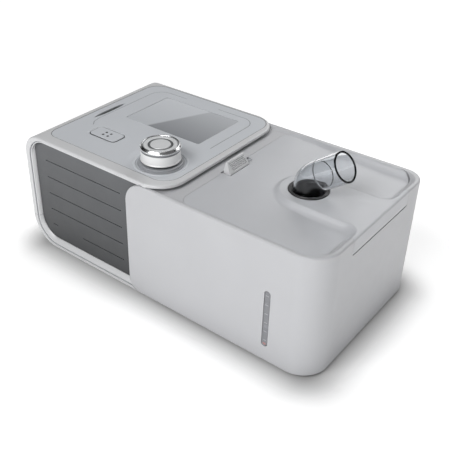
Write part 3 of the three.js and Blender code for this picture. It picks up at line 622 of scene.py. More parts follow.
def housings():
    whole = casing()
    upper = copy_of(whole, "upper_casing")
    above = SPLIT_Z + GAP * 0.75
    keep(upper, box("above", LEFT - 1, RIGHT, FRONT - 1, BACK + 1, above, DECK_Z + 1))
    cut(
        upper,
        prism("pocket", "z", POCKET_Z, DECK_Z + 1, fascia_outline(-GAP)),
        hole(screen_outline(-2)),
        hole(button_outline(0.9)),
        hole(slot_outline(1.2)),
        hole(circle(KNOB_X, KNOB_Y, 9)),
    )
    stand_for(upper, CASING, "upper_housing")

    lower = whole
    lower.name = "lower_casing"
    keep(lower, box("below", LEFT - 1, RIGHT, FRONT - 1, BACK + 1, 0, above - GAP * 1.5))
    vents = []
    for i in range(5):
        x = -80 + 10 * i
        vents.append(prism("vent", "z", 0, 5, rounded_rect(x, x + 2.5, -20, 20, 1.2, 6)))
    cut(lower, *vents, *foot_recesses("main", LOWER.z0))
    stand_for(lower, CASING, "lower_housing")


def bezel():
    """Ring between the casing's lip and the dark panel, rounding into the recess."""
    face = FRONT + 0.6
    outer, inner = lip_outline(1.5), panel_outline(-GAP)
    ring = prism("bezel", "y", FRONT + 0.7, FRONT + 6.6, lip_outline(0.7))
    slope = [(face - 0.5, outer)]
    steps = 8
    for i in range(steps + 1):
        t = i / steps
        slope.append((face + (PANEL.y0 - 0.1 - face) * t ** 1.5 + 0.01 * i, between(outer, inner, t)))
    slope.append((FRONT + 7, inner))
    cut(
        ring,
        loft("slope", "y", slope),
        flap_room(2.9),
        box("split", LEFT, PANEL.x0 + 1, FRONT - 1, FRONT + 4, SPLIT_Z - 0.14, SPLIT_Z + 0.14),
    )
    stand_for(ring, CASING, "front_bezel")
    # Dark ring in the seam between lip and bezel: painted shade of the gap.
    seam = prism("bezel_seam", "y", FRONT + 0.75, FRONT + 1.2, lip_outline(0.04))
    cut(
        seam,
        prism("middle", "y", FRONT, FRONT + 2, lip_outline(0.66)),
        flap_room(2.9),
    )
    dress(seam, SHADOW_GREY, "main_unit")


def dark_panel():
    """Dark front panel with its long grooves."""
    plate = rounded_prism("panel_plate", "y", PANEL.y0, PANEL.y1, panel_outline, 0.2, 0, 3)
    left, right = -115.2, -34.5
    pitch, lowest = 14.8, 22.7

    def groove(x0, x1, z):
        outline = rounded_rect(x0, x1, z - 0.33, z + 0.33, 0.32, 5)
        return prism("groove", "y", PANEL.y0 - 1, PANEL.y0 + 0.9, outline)

    rows = [groove(left, right, lowest + pitch * i) for i in range(1, 5)]
    cut(plate, *rows, groove(left, left + 6.2, lowest), groove(-79.7, right, lowest))
    stand_for(plate, DARK_PANEL, "front_panel")


def engraved_lines(half_width, low, high):
    """Fine line round the display, in two runs with a break at the back."""
    left, right, back, radius = -107.4, -4.8, 59.0, 12
    quarter = math.pi / 2
    start = [(left + 5, -26.5), (left + 1.4, -22), (left, -15), (left, 0)]
    one = [*start, *arc(left + radius, back - radius, radius, 2 * quarter, quarter, 14), (-76.3, back)]
    two = [(-42.8, back), *arc(right - radius, back - radius, radius, quarter, 0, 14), (right, -0.3)]
    return [
        prism(f"display_line_{i}", "z", low, high, stroke(path, half_width))
        for i, path in enumerate([one, two], 1)
    ]


def knob_dish():
    """Tool for the shallow dish round the knob: flat floor, a round bead, then a long gentle slope."""
    floor_radius, bead_radius, bead_width, rim = 18.3, 19.4, 0.95, 27
    floor_depth, bead_depth, slope_depth = 0.9, 0.05, 0.5
    top = FASCIA.z1
    bead = [
        (bead_radius + bead_width * math.cos(a), top - slope_depth + (slope_depth - bead_depth) * math.sin(a))
        for a in [math.pi * (1 - i / 10) for i in range(11)]
    ]
    slope = []
    for i in range(1, 13):
        t = i / 12
        start = bead_radius + bead_width
        slope.append((start + (rim - start) * t, top - slope_depth * (1 - smoothstep(t, 0, 1))))
    lowest = top - floor_depth
    profile = [(0, top + 2), (0, lowest), (floor_radius, lowest), *bead, *slope, (rim + 0.4, top + 2)]
    return turned("dish", "z", KNOB_X, KNOB_Y, profile, 160)


def dark_seam(name, outer, inner):
    """Thin dark ring between two outlines, sunk in a seam of the fascia: painted shade in the gap."""
    top = FASCIA.z1 - 0.03
    ring = prism(name, "z", top - 0.3, top, outer)
    cut(ring, prism("middle", "z", top - 1, top + 1, inner))
    dress(ring, BLACK, "main_unit")


def fascia():
    """Grey top panel with its seams, the dish round the knob and the line round the display."""
    top = FASCIA.z1
    plate = rounded_prism(
        "fascia_plate", "z", FASCIA.z0, top, lambda inset: fascia_outline(0.1 + inset), 0, 0.2, 3
    )
    # Dark rings in the seams round the fascia and the button: painted shade.
    dark_seam("fascia_seam", fascia_outline(-GAP + 0.05), fascia_outline(0.08))
    dark_seam("button_seam", button_outline(-0.56), button_outline(-0.05))
    chamfer = loft("chamfer", "z", [
        (top - 0.35, button_outline(-0.6)),
        (top - 0.3, button_outline(-2.0)),
        (top + 0.01, button_outline(-2.4)),
        (top + 1, button_outline(-2.4)),
    ])
    cut(
        plate,
        knob_dish(),
        hole(screen_outline(-GAP)),
        hole(button_outline(-0.6)),
        chamfer,
        hole(slot_outline(0.75)),
        hole(circle(KNOB_X, KNOB_Y, 12.2)),
        *engraved_lines(0.26, top - 0.4, DECK_Z + 1),
    )
    stand_for(plate, FACE, "top_panel")
    for line in engraved_lines(0.25, top - 0.39, top - 0.1):
        dress(line, LINE_GREY, "main_unit")


def screen():
    pane = rounded_prism("display_pane", "z", SCREEN.z0, SCREEN.z1, screen_outline, 0, 0.2, 3)
    stand_for(pane, DISPLAY, "display_window")


def button():
    """Oblong button with four dark dots, each in a dimple."""
    top = BUTTON.z1
    cap = rounded_prism("button_cap", "z", POCKET_Z + 0.9, top, button_outline, 0, 0.55, 5)
    skirt = prism("skirt", "z", 97, POCKET_Z + 1.2, button_outline(1.5))
    stem = prism("stem", "z", BUTTON.z0, 97.5, circle(BUTTON_X, BUTTON_Y, 2, 32))
    x0, x1 = BUTTON_X - 2.15, BUTTON_X + 2.75
    y0, y1 = BUTTON_Y - 2.25, BUTTON_Y + 1.85
    pit = [(0, top + 1), (0, top - 0.35), (0.95, top - 0.3), (1.2, top + 0.05), (1.2, top + 1)]
    bead = [(0, top - 0.3), (1.05, top - 0.26), (0.98, top - 0.02), (0.5, top), (0, top + 0.01)]
    places = [(x0, y0), (x1, y0), (x1, y1), (x0, y1)]
    dimples = [turned("dimple", "z", x, y, pit, 24) for x, y in places]
    stand_for(cut(join(cap, skirt, stem), *dimples), FACE, "menu_button")
    for i, (x, y) in enumerate(places, 1):
        dress(turned(f"button_dot_{i}", "z", x, y, bead, 24), BLACK, "menu_button")


def card():
    plate = rounded_prism(
        "card", "x", CARD.x0, CARD.x1, lambda inset: inset_rect(CARD, inset, 1, 6, "x"), 0.2, 0.2, 3
    )
    notch = circle(CARD.x1 + 0.4, CARD.z1 - 3, 0.8, 24)
    cut(plate, prism("thumb_notch", "y", CARD_Y - 6, CARD_Y + 6, notch))
    stand_for(plate, BLACK, "memory_card")


def knob_ring(name, rounding, steps, profile):
    """Piece turned about the knob's axis, with softened corners."""
    return turned(name, "z", KNOB_X, KNOB_Y, soften(profile, rounding, steps), 128)


def knob():
    """Flange that stays on the deck, and the knob: pale neck, dark groove, bright ring and satin cap. The
    groove's dark colour is a painted reflection, and the dark ring in the cap is painted shade.
    """
    flange = extent("knob_collar")
    flange_top = flange.z1
    collar = knob_ring("knob_flange", 0.22, 3, [
        (8.4, flange.z0), (12, flange.z0), (12, DECK_Z - 0.85), (17.4, DECK_Z - 0.85), (17.4, DECK_Z - 0.3),
        (16.3, DECK_Z - 0.2), (16.3, DECK_Z + 0.9), (15.6, flange_top), (14.2, flange_top),
        (14.2, flange_top - 0.5), (8.4, flange_top - 0.5),
    ])
    stand_for(collar, COLLAR_GREY, "knob_collar")

    low = extent("knob_body").z0
    top = extent("knob_chrome_ring").z1
    neck = knob_ring("knob_neck", 0.16, 3, [
        (3 + GAP, low), (5.6, low), (5.6, low + 5), (11.8, low + 5), (11.8, low), (13.4, low),
        (14.9, low + 0.5), (14.9, low + 1.1), (14.4, low + 1.6), (14.5, top - 4.5), (13.9, top - 4.3),
        (13.9, top - 3.3), (12.4, top - 3.2), (12.4, top - 2.4), (3 + GAP, top - 2.4),
    ])
    # Dark groove under the bright ring: painted reflection of a dark surround.
    groove = knob_ring("knob_groove", 0.1, 2, [
        (13.8, top - 4.3), (14.5, top - 4.4), (14.6, top - 3.2), (13.8, top - 3.2),
    ])
    dress(groove, PAINTED_SHADE_METAL, "knob")
    stand_for(neck, PEARL, "knob_body")
    ring = knob_ring("knob_bright_ring", 0.35, 5, [
        (12.7, top - 2.9), (14.6, top - 3.1), (15, top - 2.7), (15, top - 1.7), (13.6, top), (13.0, top),
        (12.7, top - 0.6),
    ])
    stand_for(ring, CHROME, "knob_chrome_ring")

    cap_top = extent("knob_cap").z1
    cap = knob_ring("knob_disc", 0.15, 3, [
        (0.01, top - 2.4 + GAP), (12.3, top - 2.4 + GAP), (12.3, cap_top), (9.6, cap_top),
        (9.3, cap_top - 0.35), (7.5, cap_top - 0.5), (7.2, cap_top + 0.05), (0.01, cap_top + 0.05),
    ])
    stand_for(cap, SATIN, "knob_cap")
    # Dark ring in the cap's groove: painted shade.
    groove_shade = knob_ring("knob_painted_groove_shade", 0.05, 2, [
        (7.4, cap_top - 0.7), (9.35, cap_top - 0.5), (9.35, cap_top - 0.26), (7.4, cap_top - 0.4),
    ])
    dress(groove_shade, PAINTED_SHADE_METAL, "knob")


def rear():
    """Back panel with the filter tray, air vents and the hole for the power socket."""
    y0, y1 = REAR.y1 - 2.8, REAR.y1
    edge = WALL + GAP
    corners = [21.7, 1.2, 1.2, 13.7]
    opening = Box(LEFT + edge, CASE_RIGHT - edge, y0, y1, LOWER.z0 + edge, DECK_Z - 3.6 - GAP)
    plate = rounded_prism(
        "back_plate", "y", y0, y1, lambda inset: inset_rect(opening, inset, corners, 16, "y"), 0, 0.5
    )
    x0, x1, z0, z1 = FILTER.x0 - 0.4, FILTER.x1 + 0.4, FILTER.z0 - 0.4, FILTER.z1 + 0.4
    tray = box("tray", x0 - 1.6, x1 + 1.6, y0 - 8, y0 + 1, z0 - 1.6, z1 + 1.6)
    inside = prism("tray_room", "y", y0 - 6.4, y1 + 1, rounded_rect(x0, x1, z0, z1, 1.6, 6))
    slots = []
    for i in range(5):
        x = x0 + 4 + 8 * i
        slots.append(prism("air_slot", "y", y0 - 9, y0, rounded_rect(x, x + 4.5, z0 + 4, z1 - 4, 1.5, 5)))
    for i in range(6):
        x = -62 + 7 * i
        slots.append(prism("vent", "y", y0 - 1, y1 + 1, rounded_rect(x, x + 2.5, 44, 74, 1.2, 6)))
    power = extent("power_inlet")
    px, pz = (power.x0 + power.x1) / 2, (power.z0 + power.z1) / 2
    rim, flared = circle(px, pz, 6.4, 48), circle(px, pz, 7.2, 48)
    socket = prism("socket_hole", "y", y0 - 1, y1 + 1, rim)
    flare = loft("socket_flare", "y", [(y1 - 0.6, rim), (y1 + 0.1, flared)])
    cut(join(plate, tray), inside, *slots, socket, flare)
    stand_for(plate, CASING, "rear_panel")

    barrel = turned("power_socket", "y", px, pz, soften([
        (0.01, power.y0), (6, power.y0), (6, power.y1), (4.4, power.y1), (4.4, power.y0 + 5),
        (1.2, power.y0 + 5), (1.2, power.y0 + 9.6), (0.9, power.y0 + 10), (0.01, power.y0 + 10),
    ], 0.3, 3), 48)
    stand_for(barrel, BLACK, "power_inlet")


def filter_door():
    door = rounded_prism(
        "filter_door", "y", FILTER.y0, FILTER.y1, lambda inset: inset_rect(FILTER, inset, 1.8, 6, "y"), 0, 0.5
    )
    louvres = []
    for i in range(6):
        low = FILTER.z0 + 4.6 + 5.6 * i
        outline = rounded_rect(FILTER.x0 + 5.6, FILTER.x1 - 5.6, low, low + 2.2, 1.05, 6)
        louvres.append(prism("louvre", "y", FILTER.y0 - 1, FILTER.y1 + 1, outline))
    stand_for(cut(door, *louvres), FACE, "filter_cover")


def foot(node):
    here = extent(node)
    pad = turned(f"{node}_pad", "z", *middle(here), soften([
        (0.01, 0), (4.6, 0), (4.9, 0.25), (5.3, 0.25), (5.6, 0), (6.1, 0), (6.4, 0.5), (6.4, here.z1),
        (0.01, here.z1),
    ], 0.15, 3), 48)
    stand_for(pad, RUBBER, node)


def air_ducts():
    """The main unit's air nozzle and the humidifier's inlet sleeve, both soft."""
    nozzle = turned("nozzle_seal", "x", PORT_Y, PORT_Z, soften([
        (9, CASE_RIGHT - 5), (12.1, CASE_RIGHT - 5), (12.1, CASE_RIGHT - 0.4), (11, CASE_RIGHT - 0.4),
        (11, CASE_RIGHT + 6.4), (10.4, CASE_RIGHT + 7), (9, CASE_RIGHT + 7),
    ], 0.4, 3), 64)
    duct = extent("outlet_duct")
    bore = turned("bore", "x", PORT_Y, PORT_Z, [(0, -40), (9, -40), (9, 8), (0, 8)], 64)
    back = turned("back_tube", "x", PORT_Y, PORT_Z, [
        (8.9, duct.x0 + 3), (11, duct.x0 + 3), (11, CASE_RIGHT - 4), (8.9, CASE_RIGHT - 4),
    ], 64)
    collar = prism("collar", "x", duct.x0, duct.x0 + 3.7, inset_rect(duct, 0, 2, 6, "x"))
    cut(join(nozzle, back, collar), bore)
    stand_for(nozzle, RUBBER, "outlet_duct")

    sleeve_box = extent("inlet_duct")
    x0, x1 = sleeve_box.x0, sleeve_box.x1
    ridges = []
    for i in range(3):
        start = x0 + 8 + 6 * i
        ridges += [(13.8, start - 0.4), (15.4, start + 0.4), (15.4, start + 2.1), (13.8, start + 2.9)]
    sleeve = turned("inlet_sleeve", "x", PORT_Y, PORT_Z, soften([
        (11.4, x0), (13.8, x0), *ridges, (13.8, x1), (11.4, x1),
    ], 0.4, 3), 64)
    stand_for(sleeve, RUBBER, "inlet_duct")


# ---- humidifier: outlines and top surface

RIM_FRONT = 2.4  # rim thickness at the front
RIM_BACK = 4.4
RIM_RIGHT = 3.0
LID_LEFT_Z = 96.6
LID_RIGHT_Z = 93.8
LID_RIGHT = RIGHT - 7.7
LID_PLATE_Z = 91.2
SHELL_WALL = 2.4
HINGE_X, HINGE_Z = RIGHT - 3, 94
HINGE_HOLE = circle(HINGE_X, HINGE_Z, 1 + GAP, 16)
OUTLET_HOLE = circle(OUTLET_X, OUTLET_Y, 14.6, 96)
PIVOT_X, PIVOT_Z = 24, 93.7  # the pin that the latch turns on
LATCH_FRONT, LATCH_BACK = LATCH.y0 + 2.6, LATCH.y1 - 2.6  # the latch without the ends of its pin
TAB_FRONT, TAB_BACK = -34.2, 41.6
TONGUE_RADIUS = 20.6


def shell_outline(inset):
    corners = [1.5, 20.5 - inset, 14.5 - inset, 1.5]
    left = HUM_LEFT + min(max(inset, 0), 0.5)
    return rounded_rect(left, RIGHT - inset, FRONT + inset, BACK - inset, corners, 24)


def lid_outline(inset, back_corner=9.5):
    corners = [10.5 - inset, 16 - inset, back_corner - inset, 10.5 - inset]
    return rounded_rect(LID.x0 + inset, LID_RIGHT - inset, LID.y0 + inset, LID.y1 - inset, corners, 20)


def smoothstep(value, low, high):
    t = min(max((value - low) / (high - low), 0), 1)
    return t * t * (3 - 2 * t)


def soft_min(a, b, reach):
    """The lower of two values, rounded over where they come within reach of each other."""
    h = max(reach - abs(a - b), 0) / reach
    return min(a, b) - h * h * reach / 4


def inside_rim(x, y):
    """How far x, y is inside the inner edge of the rim, which is open at the left."""
    front, back, right = FRONT + RIM_FRONT, BACK - RIM_BACK, RIGHT - RIM_RIGHT
    radius = 18 if y < 0 else 12
    qx = x - right + radius
    qy = (front + radius - y) if y < 0 else (y - back + radius)
    return radius - math.hypot(max(qx, 0), max(qy, 0)) - min(max(qx, qy), 0)


def top_height(x, y):
    """Top of the humidifier: rim, recessed lid and the tongue that carries the outlet."""
    floor = LID_LEFT_Z + (LID_RIGHT_Z - LID_LEFT_Z) * smoothstep(x, LID.x0 + 6, LID_RIGHT - 16)
    tongue = math.hypot(min(x - OUTLET_X, 0), y - OUTLET_Y) - TONGUE_RADIUS
    away = soft_min(inside_rim(x, y), tongue, 10)
    rise = RIM_Z - floor
    reach = 1.9 * rise
    wall = floor + (rise + 1.3) * max(1 - away / reach, 0) ** 3.4
    return soft_min(wall, RIM_Z, 2.2) if wall > floor else floor


def above_top():
    """Tool that fills everything above the humidifier's top surface."""
    pitch = 0.62
    x0, x1, y0, y1, ceiling = HUM_LEFT - 1, RIGHT + 1, FRONT - 1, BACK + 1, 112
    nx, ny = round((x1 - x0) / pitch), round((y1 - y0) / pitch)
    xs = [x0 + (x1 - x0) * i / nx for i in range(nx + 1)]
    sections = []
    for j in range(ny + 1):
        y = y0 + (y1 - y0) * j / ny
        surface = [(x, top_height(x, y)) for x in xs]
        sections.append((y, [*surface, (x1, ceiling), (x0, ceiling)]))
    return loft("above_top", "y", sections)


# ---- humidifier: pieces

def window_outline(inset):
    return inset_rect(WINDOW, 2 + inset, 2.4 - inset, 8, "y")


def shell_body():
    return rounded_prism("shell_body", "z", SHELL.z0, RIM_Z, shell_outline, 0.6, 1.5, 8)


def cover(tool):
    """Outer shell of the humidifier with the cover that reaches over the main unit's front."""
    shell = shell_body()
    shell.name = "humidifier_cover"
    wall = SHELL_WALL
    flap = rounded_prism("flap", "y", FRONT + SKIN, FRONT + wall, flap_outline, 0.7, 0.2, 5)
    cavity = rounded_rect(HUM_LEFT + wall, RIGHT - wall, FRONT + wall, BACK - wall, [1, 18, 12, 1], 16)
    cut(
        join(shell, flap),
        tool,
        prism("cavity", "z", 0, 90.8, cavity),
        prism("lid_hole", "z", 90, RIM_Z + 2, lid_outline(-0.17)),
        box("tab_room", RIGHT - 9, RIGHT + 1, TAB_FRONT - GAP, TAB_BACK + GAP, LID.z0 - 1.1, RIM_Z + 1),
        prism("window_hole", "y", FRONT - 1, FRONT + 3, window_outline(0)),
        box("latch_room", LID.x0 - 1.6, LID.x0 + 1, LATCH.y0 + 1.6, LATCH.y1 + 3.4, 80, RIM_Z),
        prism("hinge_hole", "y", TAB_FRONT - 7, TAB_BACK + 7, HINGE_HOLE),
        prism("port", "x", HUM_LEFT - 1, HUM_LEFT + 4, circle(PORT_Y, PORT_Z, 14.2)),
        box("plug_room", HUM_LEFT - 1, HUM_LEFT + 4, *PLUG_ROOM, 26.4),
    )
    stand_for(shell, COVER, "humidifier_shell", sharp=40)


def lid(tool):
    """Lid: recessed floor, tongue round the outlet and the middle of the right rim."""
    plate = prism("lid_top", "z", LID_PLATE_Z, RIM_Z + 2, lid_outline(0, 11.5))
    tab = keep(shell_body(), box("tab", RIGHT - 9, RIGHT + 1, TAB_FRONT, TAB_BACK, LID.z0, RIM_Z + 1))
    under = LID_PLATE_Z + SKIN
    cut(tab, box("under_tab", RIGHT - 10, RIGHT - SHELL_WALL, TAB_FRONT - 1, TAB_BACK + 1, 80, under))
    left, back = LID.x0, LATCH_BACK
    notch = [
        *arc(left + 2.4, back + 5, 3, 0, math.pi / 2, 8),
        *arc(left + 1.6, back + 11, 3, -math.pi / 2, -math.pi, 6),
        (left - 1, back + 11), (left - 1, back - 1), (left + 5.4, back - 1),
    ]
    cut(
        join(plate, tab),
        tool,
        prism("outlet_hole", "z", 80, RIM_Z + 2, OUTLET_HOLE),
        box("latch_slot", left - 1, left + 7.4, LATCH_FRONT - 0.4, back + 0.4, 90, RIM_Z + 1),
        prism("catch_notch", "z", LID_LEFT_Z - 1.4, RIM_Z + 1, notch),
        prism("hinge_hole", "y", TAB_FRONT - 1, TAB_BACK + 1, HINGE_HOLE),
        prism("pivot_hole", "y", LATCH_FRONT - 3, back + 3, circle(PIVOT_X, PIVOT_Z, 1 + GAP, 16)),
    )
    stand_for(plate, LID_GREY, "lid", sharp=40)


def under_lid():
    """Clear liner under the lid, with the gasket that meets the tank."""
    tray = extent("lid_liner")
    liner = rounded_prism(
        "liner_tray", "z", tray.z0, tray.z1, lambda inset: inset_rect(tray, inset, 10 - inset, 16), 1.2, 0.3
    )
    hollow = rounded_prism(
        "hollow", "z", tray.z0 - 1, tray.z1 - 2, lambda inset: inset_rect(tray, 5 + inset, 6 - inset), 0, 1
    )
    boss = turned("boss", "z", OUTLET_X, OUTLET_Y, [
        (14.6, tray.z0), (17, tray.z0), (17, tray.z1 - 0.5), (14.6, tray.z1 - 0.5),
    ])
    bore = prism("bore", "z", 80, 100, OUTLET_HOLE)
    stand_for(cut(join(cut(liner, hollow), boss), bore), CLEAR, "lid_liner")

    gasket = extent("lid_seal")
    seal = rounded_prism(
        "lid_gasket", "z", gasket.z0, gasket.z1, lambda inset: inset_rect(gasket, inset, 12 - inset, 16), 0.8
    )
    cut(seal, prism("inner", "z", gasket.z0 - 1, gasket.z1 + 1, inset_rect(gasket, 4, 8, 16)))
    stand_for(seal, RUBBER, "lid_seal")


def latch():
    """Ribbed tab on the lid's left edge, with its hook below and the pin it turns on."""
    y0, y1 = LATCH_FRONT, LATCH_BACK
    hook = [(20.5, 92.2), (21, 87.6), (22.2, 86.6), (23.4, 87.4), (23.8, 91.2)]
    tab = [(26.9, 92.6), (26.9, 97.3), (21.3, 104.3), (20.3, 104.5)]
    profile = [Vector(point) for point in soften([*hook, *tab], 0.55, 4)]
    centre = sum(profile, Vector((0, 0))) / len(profile)

    def outline(inset):
        return [tuple(point - (point - centre).normalized() * inset) for point in profile]

    body = rounded_prism("lid_tab", "y", y0, y1, outline, 0.4, 0.4, 4)
    chamfer = loft("chamfer", "y", [
        (y0 - 1, [(18, 97.2), (30, 97.2), (30, 110), (18, 110)]),
        (y0 + 3.2, [(18, 104.6), (30, 104.6), (30, 110), (18, 110)]),
    ])
    foot_end, head_end = Vector(tab[1]), Vector(tab[2])
    up = (head_end - foot_end).normalized()
    out = Vector((up.y, -up.x))
    pitch, count, depth = 1.3, 5, 0.55
    section = [(0, 1), (0, -0.02), (0.15, -depth), (0.6, -depth), (0.8, -0.02), (0.8, 1)]
    grooves = []
    for i in range(count):
        start = foot_end + up * (1.5 + pitch * i)
        bar = [tuple(start + up * distance + out * proud) for distance, proud in section]
        grooves.append(prism("groove", "y", y0 + 4.0, y1 - 1.6, bar))
    pin = prism("pin", "y", LATCH.y0, LATCH.y1, circle(PIVOT_X, PIVOT_Z, 1, 24))
    join(cut(body, chamfer, *grooves), pin)
    # Dressed in the lighter casing plastic rather than the lid's: painted light, to brighten its face that
    # turns away from the lamps.
    stand_for(body, CASING, "lid_latch", sharp=28)


def outlet_ring():
    """Black seal with its concentric lips."""
    top = SEAL.z1
    ring = turned("outlet_lips", "z", OUTLET_X, OUTLET_Y, soften([
        (11.35, SEAL.z0), (14.2, SEAL.z0), (14.2, top - 0.5), (13.9, top), (13.3, top), (13.1, top - 0.45),
        (12.8, top - 0.45), (12.6, top - 0.1), (12.1, top - 0.15), (11.9, top - 0.7), (11.35, top - 1.1),
    ], 0.14, 3), 128)
    stand_for(ring, RUBBER, "outlet_seal")


AXIS_Z = 106.5
TILT = math.radians(35.6)
BEND = math.pi / 2 - TILT
BEND_RADIUS = 13
OUTLET_REACH = 31.2
SOCKET_START = 12.5


def outlet_station(distance):
    """Centre and lean of the outlet's centre line, that far past where its two axes meet."""
    tangent = BEND_RADIUS * math.tan(BEND / 2)
    arc_length = BEND_RADIUS * BEND
    start_z = AXIS_Z - tangent
    if distance >= tangent:
        return (OUTLET_X + math.cos(TILT) * distance, AXIS_Z + math.sin(TILT) * distance), BEND
    along = distance - tangent + arc_length
    if along <= 0:
        return (OUTLET_X, start_z + along), 0
    turn = along / BEND_RADIUS
    x = OUTLET_X + BEND_RADIUS * (1 - math.cos(turn))
    return (x, start_z + BEND_RADIUS * math.sin(turn)), turn


def swept(name, profile, sides=72):
    """Tube along the outlet's centre line. profile: closed [radius, distance]."""
    points, rings = [], []
    for radius, distance in profile:
        (x, z), turn = outlet_station(distance)
        rings.append([len(points) + i for i in range(sides)])
        for u, v in circle(0, 0, radius, sides):
            points.append((x + u * math.cos(turn), OUTLET_Y + v, z - u * math.sin(turn)))
    return skinned(name, points, rings)


def run(radius, start, end, pitch=1.0):
    """Points along a straight run of a swept profile, close enough to follow the bend."""
    steps = max(1, round(abs(end - start) / pitch))
    return [(radius, start + (end - start) * i / steps) for i in range(steps + 1)]


def outlet():
    """Clear elbow and pipe, with painted shade for the dark edges that clear plastic shows: one joint line
    between them and a fine dark line round the open end.
    """
    low = 88 - AXIS_Z + BEND_RADIUS * (2 * math.tan(BEND / 2) - BEND)
    joint_at = SOCKET_START - GAP
    elbow = swept("outlet_bend", [
        *run(11, low + 0.3, joint_at - 0.2), (10.8, joint_at), (9.75, joint_at),
        *run(9.6, joint_at - 0.2, low + 0.3), (9.8, low), (10.7, low),
    ])
    stand_for(elbow, CLEAR, "outlet_elbow")
    rim_at = OUTLET_REACH - 0.8
    tube = swept("outlet_pipe", [
        *run(11, SOCKET_START + 0.2, rim_at, 3), *run(9.6, rim_at, SOCKET_START + 0.2, 3),
        (9.75, SOCKET_START), (10.8, SOCKET_START),
    ])
    stand_for(tube, CLEAR, "outlet_tube")
    # Dark rim round the open end: painted shade.
    rim = swept("outlet_rim", [
        (9.62, rim_at), (10.98, rim_at), (10.98, OUTLET_REACH - 0.25), (10.7, OUTLET_REACH),
        (9.9, OUTLET_REACH), (9.62, OUTLET_REACH - 0.25),
    ])
    dress(rim, RIM_PAINTED_SHADE, "outlet_elbow")
    # Dark joint ring between elbow and pipe: painted shade.
    joint = swept("outlet_joint", [
        (10.7, joint_at), (10.95, joint_at), (10.95, SOCKET_START), (10.7, SOCKET_START),
    ])
    dress(joint, SHADOW_GREY, "outlet_elbow")


def level_gauge():
    """Smoke-grey window with level ticks and a low-level mark."""
    face = WINDOW.y0
    pane = rounded_prism("gauge_pane", "y", face, face + 2.6, lambda inset: window_outline(GAP + inset), 0.4)
    flange = prism("flange", "y", FRONT + SHELL_WALL + GAP, WINDOW.y1, window_outline(-2))
    stand_for(join(pane, flange), WINDOW_TINT, "level_window")

    def bar(name, look, low, high, radius):
        outline = rounded_rect(WINDOW.x0 + 3.2, WINDOW.x1 - 3.2, low, high, radius, 4)
        dress(prism(name, "y", face - 0.04, face + 0.1, outline), look, "humidifier")

    lowest, highest = WINDOW.z0 + 7.4, WINDOW.z1 - 6
    for i in range(6):
        z = lowest + (highest - lowest) * i / 5
        bar(f"level_tick_{i + 1}", TICK, z - 0.3, z + 0.3, 0.25)
    bar("level_mark", MARK, lowest - 4, lowest - 2.4, 0.4)


def base_plate():
    base = extent("humidifier_base")
    lower = rounded_prism(
        "base_plate", "z", base.z0, 1.85, lambda inset: shell_outline(0.9 + inset), 0.3, 0, 3
    )
    inner = rounded_rect(HUM_LEFT + 2.7, RIGHT - 2.7, FRONT + 2.7, BACK - 2.7, [1, 17.7, 11.7, 1], 16)
    wall = rounded_rect(16, 128, -65, 62, 6)
    well = rounded_rect(18, 126, -63, 60, 5)
    join(lower, prism("plug", "z", base.z0 + SKIN, 4.5, inner), prism("wall", "z", 4, 12, wall))
    cut(lower, prism("well", "z", 4.6, 13, well), *foot_recesses("humidifier", base.z0))
    stand_for(lower, BLACK, "humidifier_base")


def tank():
    """Clear water tank with a steel plate in its floor, on the aluminium heater plate."""
    basin = extent("water_tank")
    flange = 3
    side = basin.x0 + flange

    def outline(inset):
        return inset_rect(basin, flange + inset, 10 - inset, 14)

    cx, cy = middle(TANK)

    def square(half):
        return rounded_rect(cx - half, cx + half, cy - half, cy + half, 6, 10)

    body = rounded_prism("tank_body", "z", basin.z0, basin.z1, outline, 2, 0.3)
    brim = rounded_prism(
        "brim", "z", basin.z1 - 2.4, basin.z1 - SKIN, lambda inset: outline(inset - flange), 0.6, 0.6
    )
    cut(
        join(body, brim),
        rounded_prism("room", "z", basin.z0 + 2.4, basin.z1 + 1, lambda inset: outline(2 + inset), 2),
        prism("plate_hole", "z", 0, 20, square(38)),
        prism("air_hole", "x", side - 5, side + 5, circle(PORT_Y, PORT_Z, 10)),
    )
    stand_for(body, CLEAR, "water_tank")

    def plate(name, low, step, high, lower_half, upper_half, edge):
        """Square plate with a step in its side and a rounded upper edge."""
        wide = prism(name, "z", low, step + 0.1, square(lower_half))
        upper = rounded_prism("upper", "z", step, high, lambda inset: square(upper_half - inset), 0, edge, 3)
        return join(wide, upper)

    steel = plate("tank_plate", TANK.z0, TANK.z0 + 2.7, TANK.z1, 37.6, 41, 0.4)
    stand_for(steel, STEEL, "tank_heat_plate")
    heater = extent("heater_plate")
    aluminium = plate("heater", heater.z0, heater.z0 + 1.4, heater.z1, 46, 42, 0.5)
    stand_for(aluminium, ALUMINIUM, "heater_plate")


def carried_over():
    """CAD nodes that stay as they are, with their materials."""
    looks = {
        "casing": CASING, "dark_plastic": BLACK, "blower_plastic": NATURAL, "rubber": RUBBER,
        "circuit_board": BOARD, "flat_cable": CABLE, "steel": STEEL, "aluminium": ALUMINIUM,
        "foam": FOAM, "filter_pad": FELT,
    }
    for name, slot in SLOTS.items():
        node = frame["nodes"][name]
        if not node.hide_render:
            node.data.materials.clear()
            node.data.materials.append(looks[slot])


# ---- stage, lights and camera

# Directions of the dark cards that the chrome mirrors, and the cosines between which they fade out
DARK_CARDS = [(-0.87, -0.25, 0.42), (0.41, 0.81, 0.42)]
CARD_EDGE, CARD_FADED = math.cos(math.radians(16)), math.cos(math.radians(26))


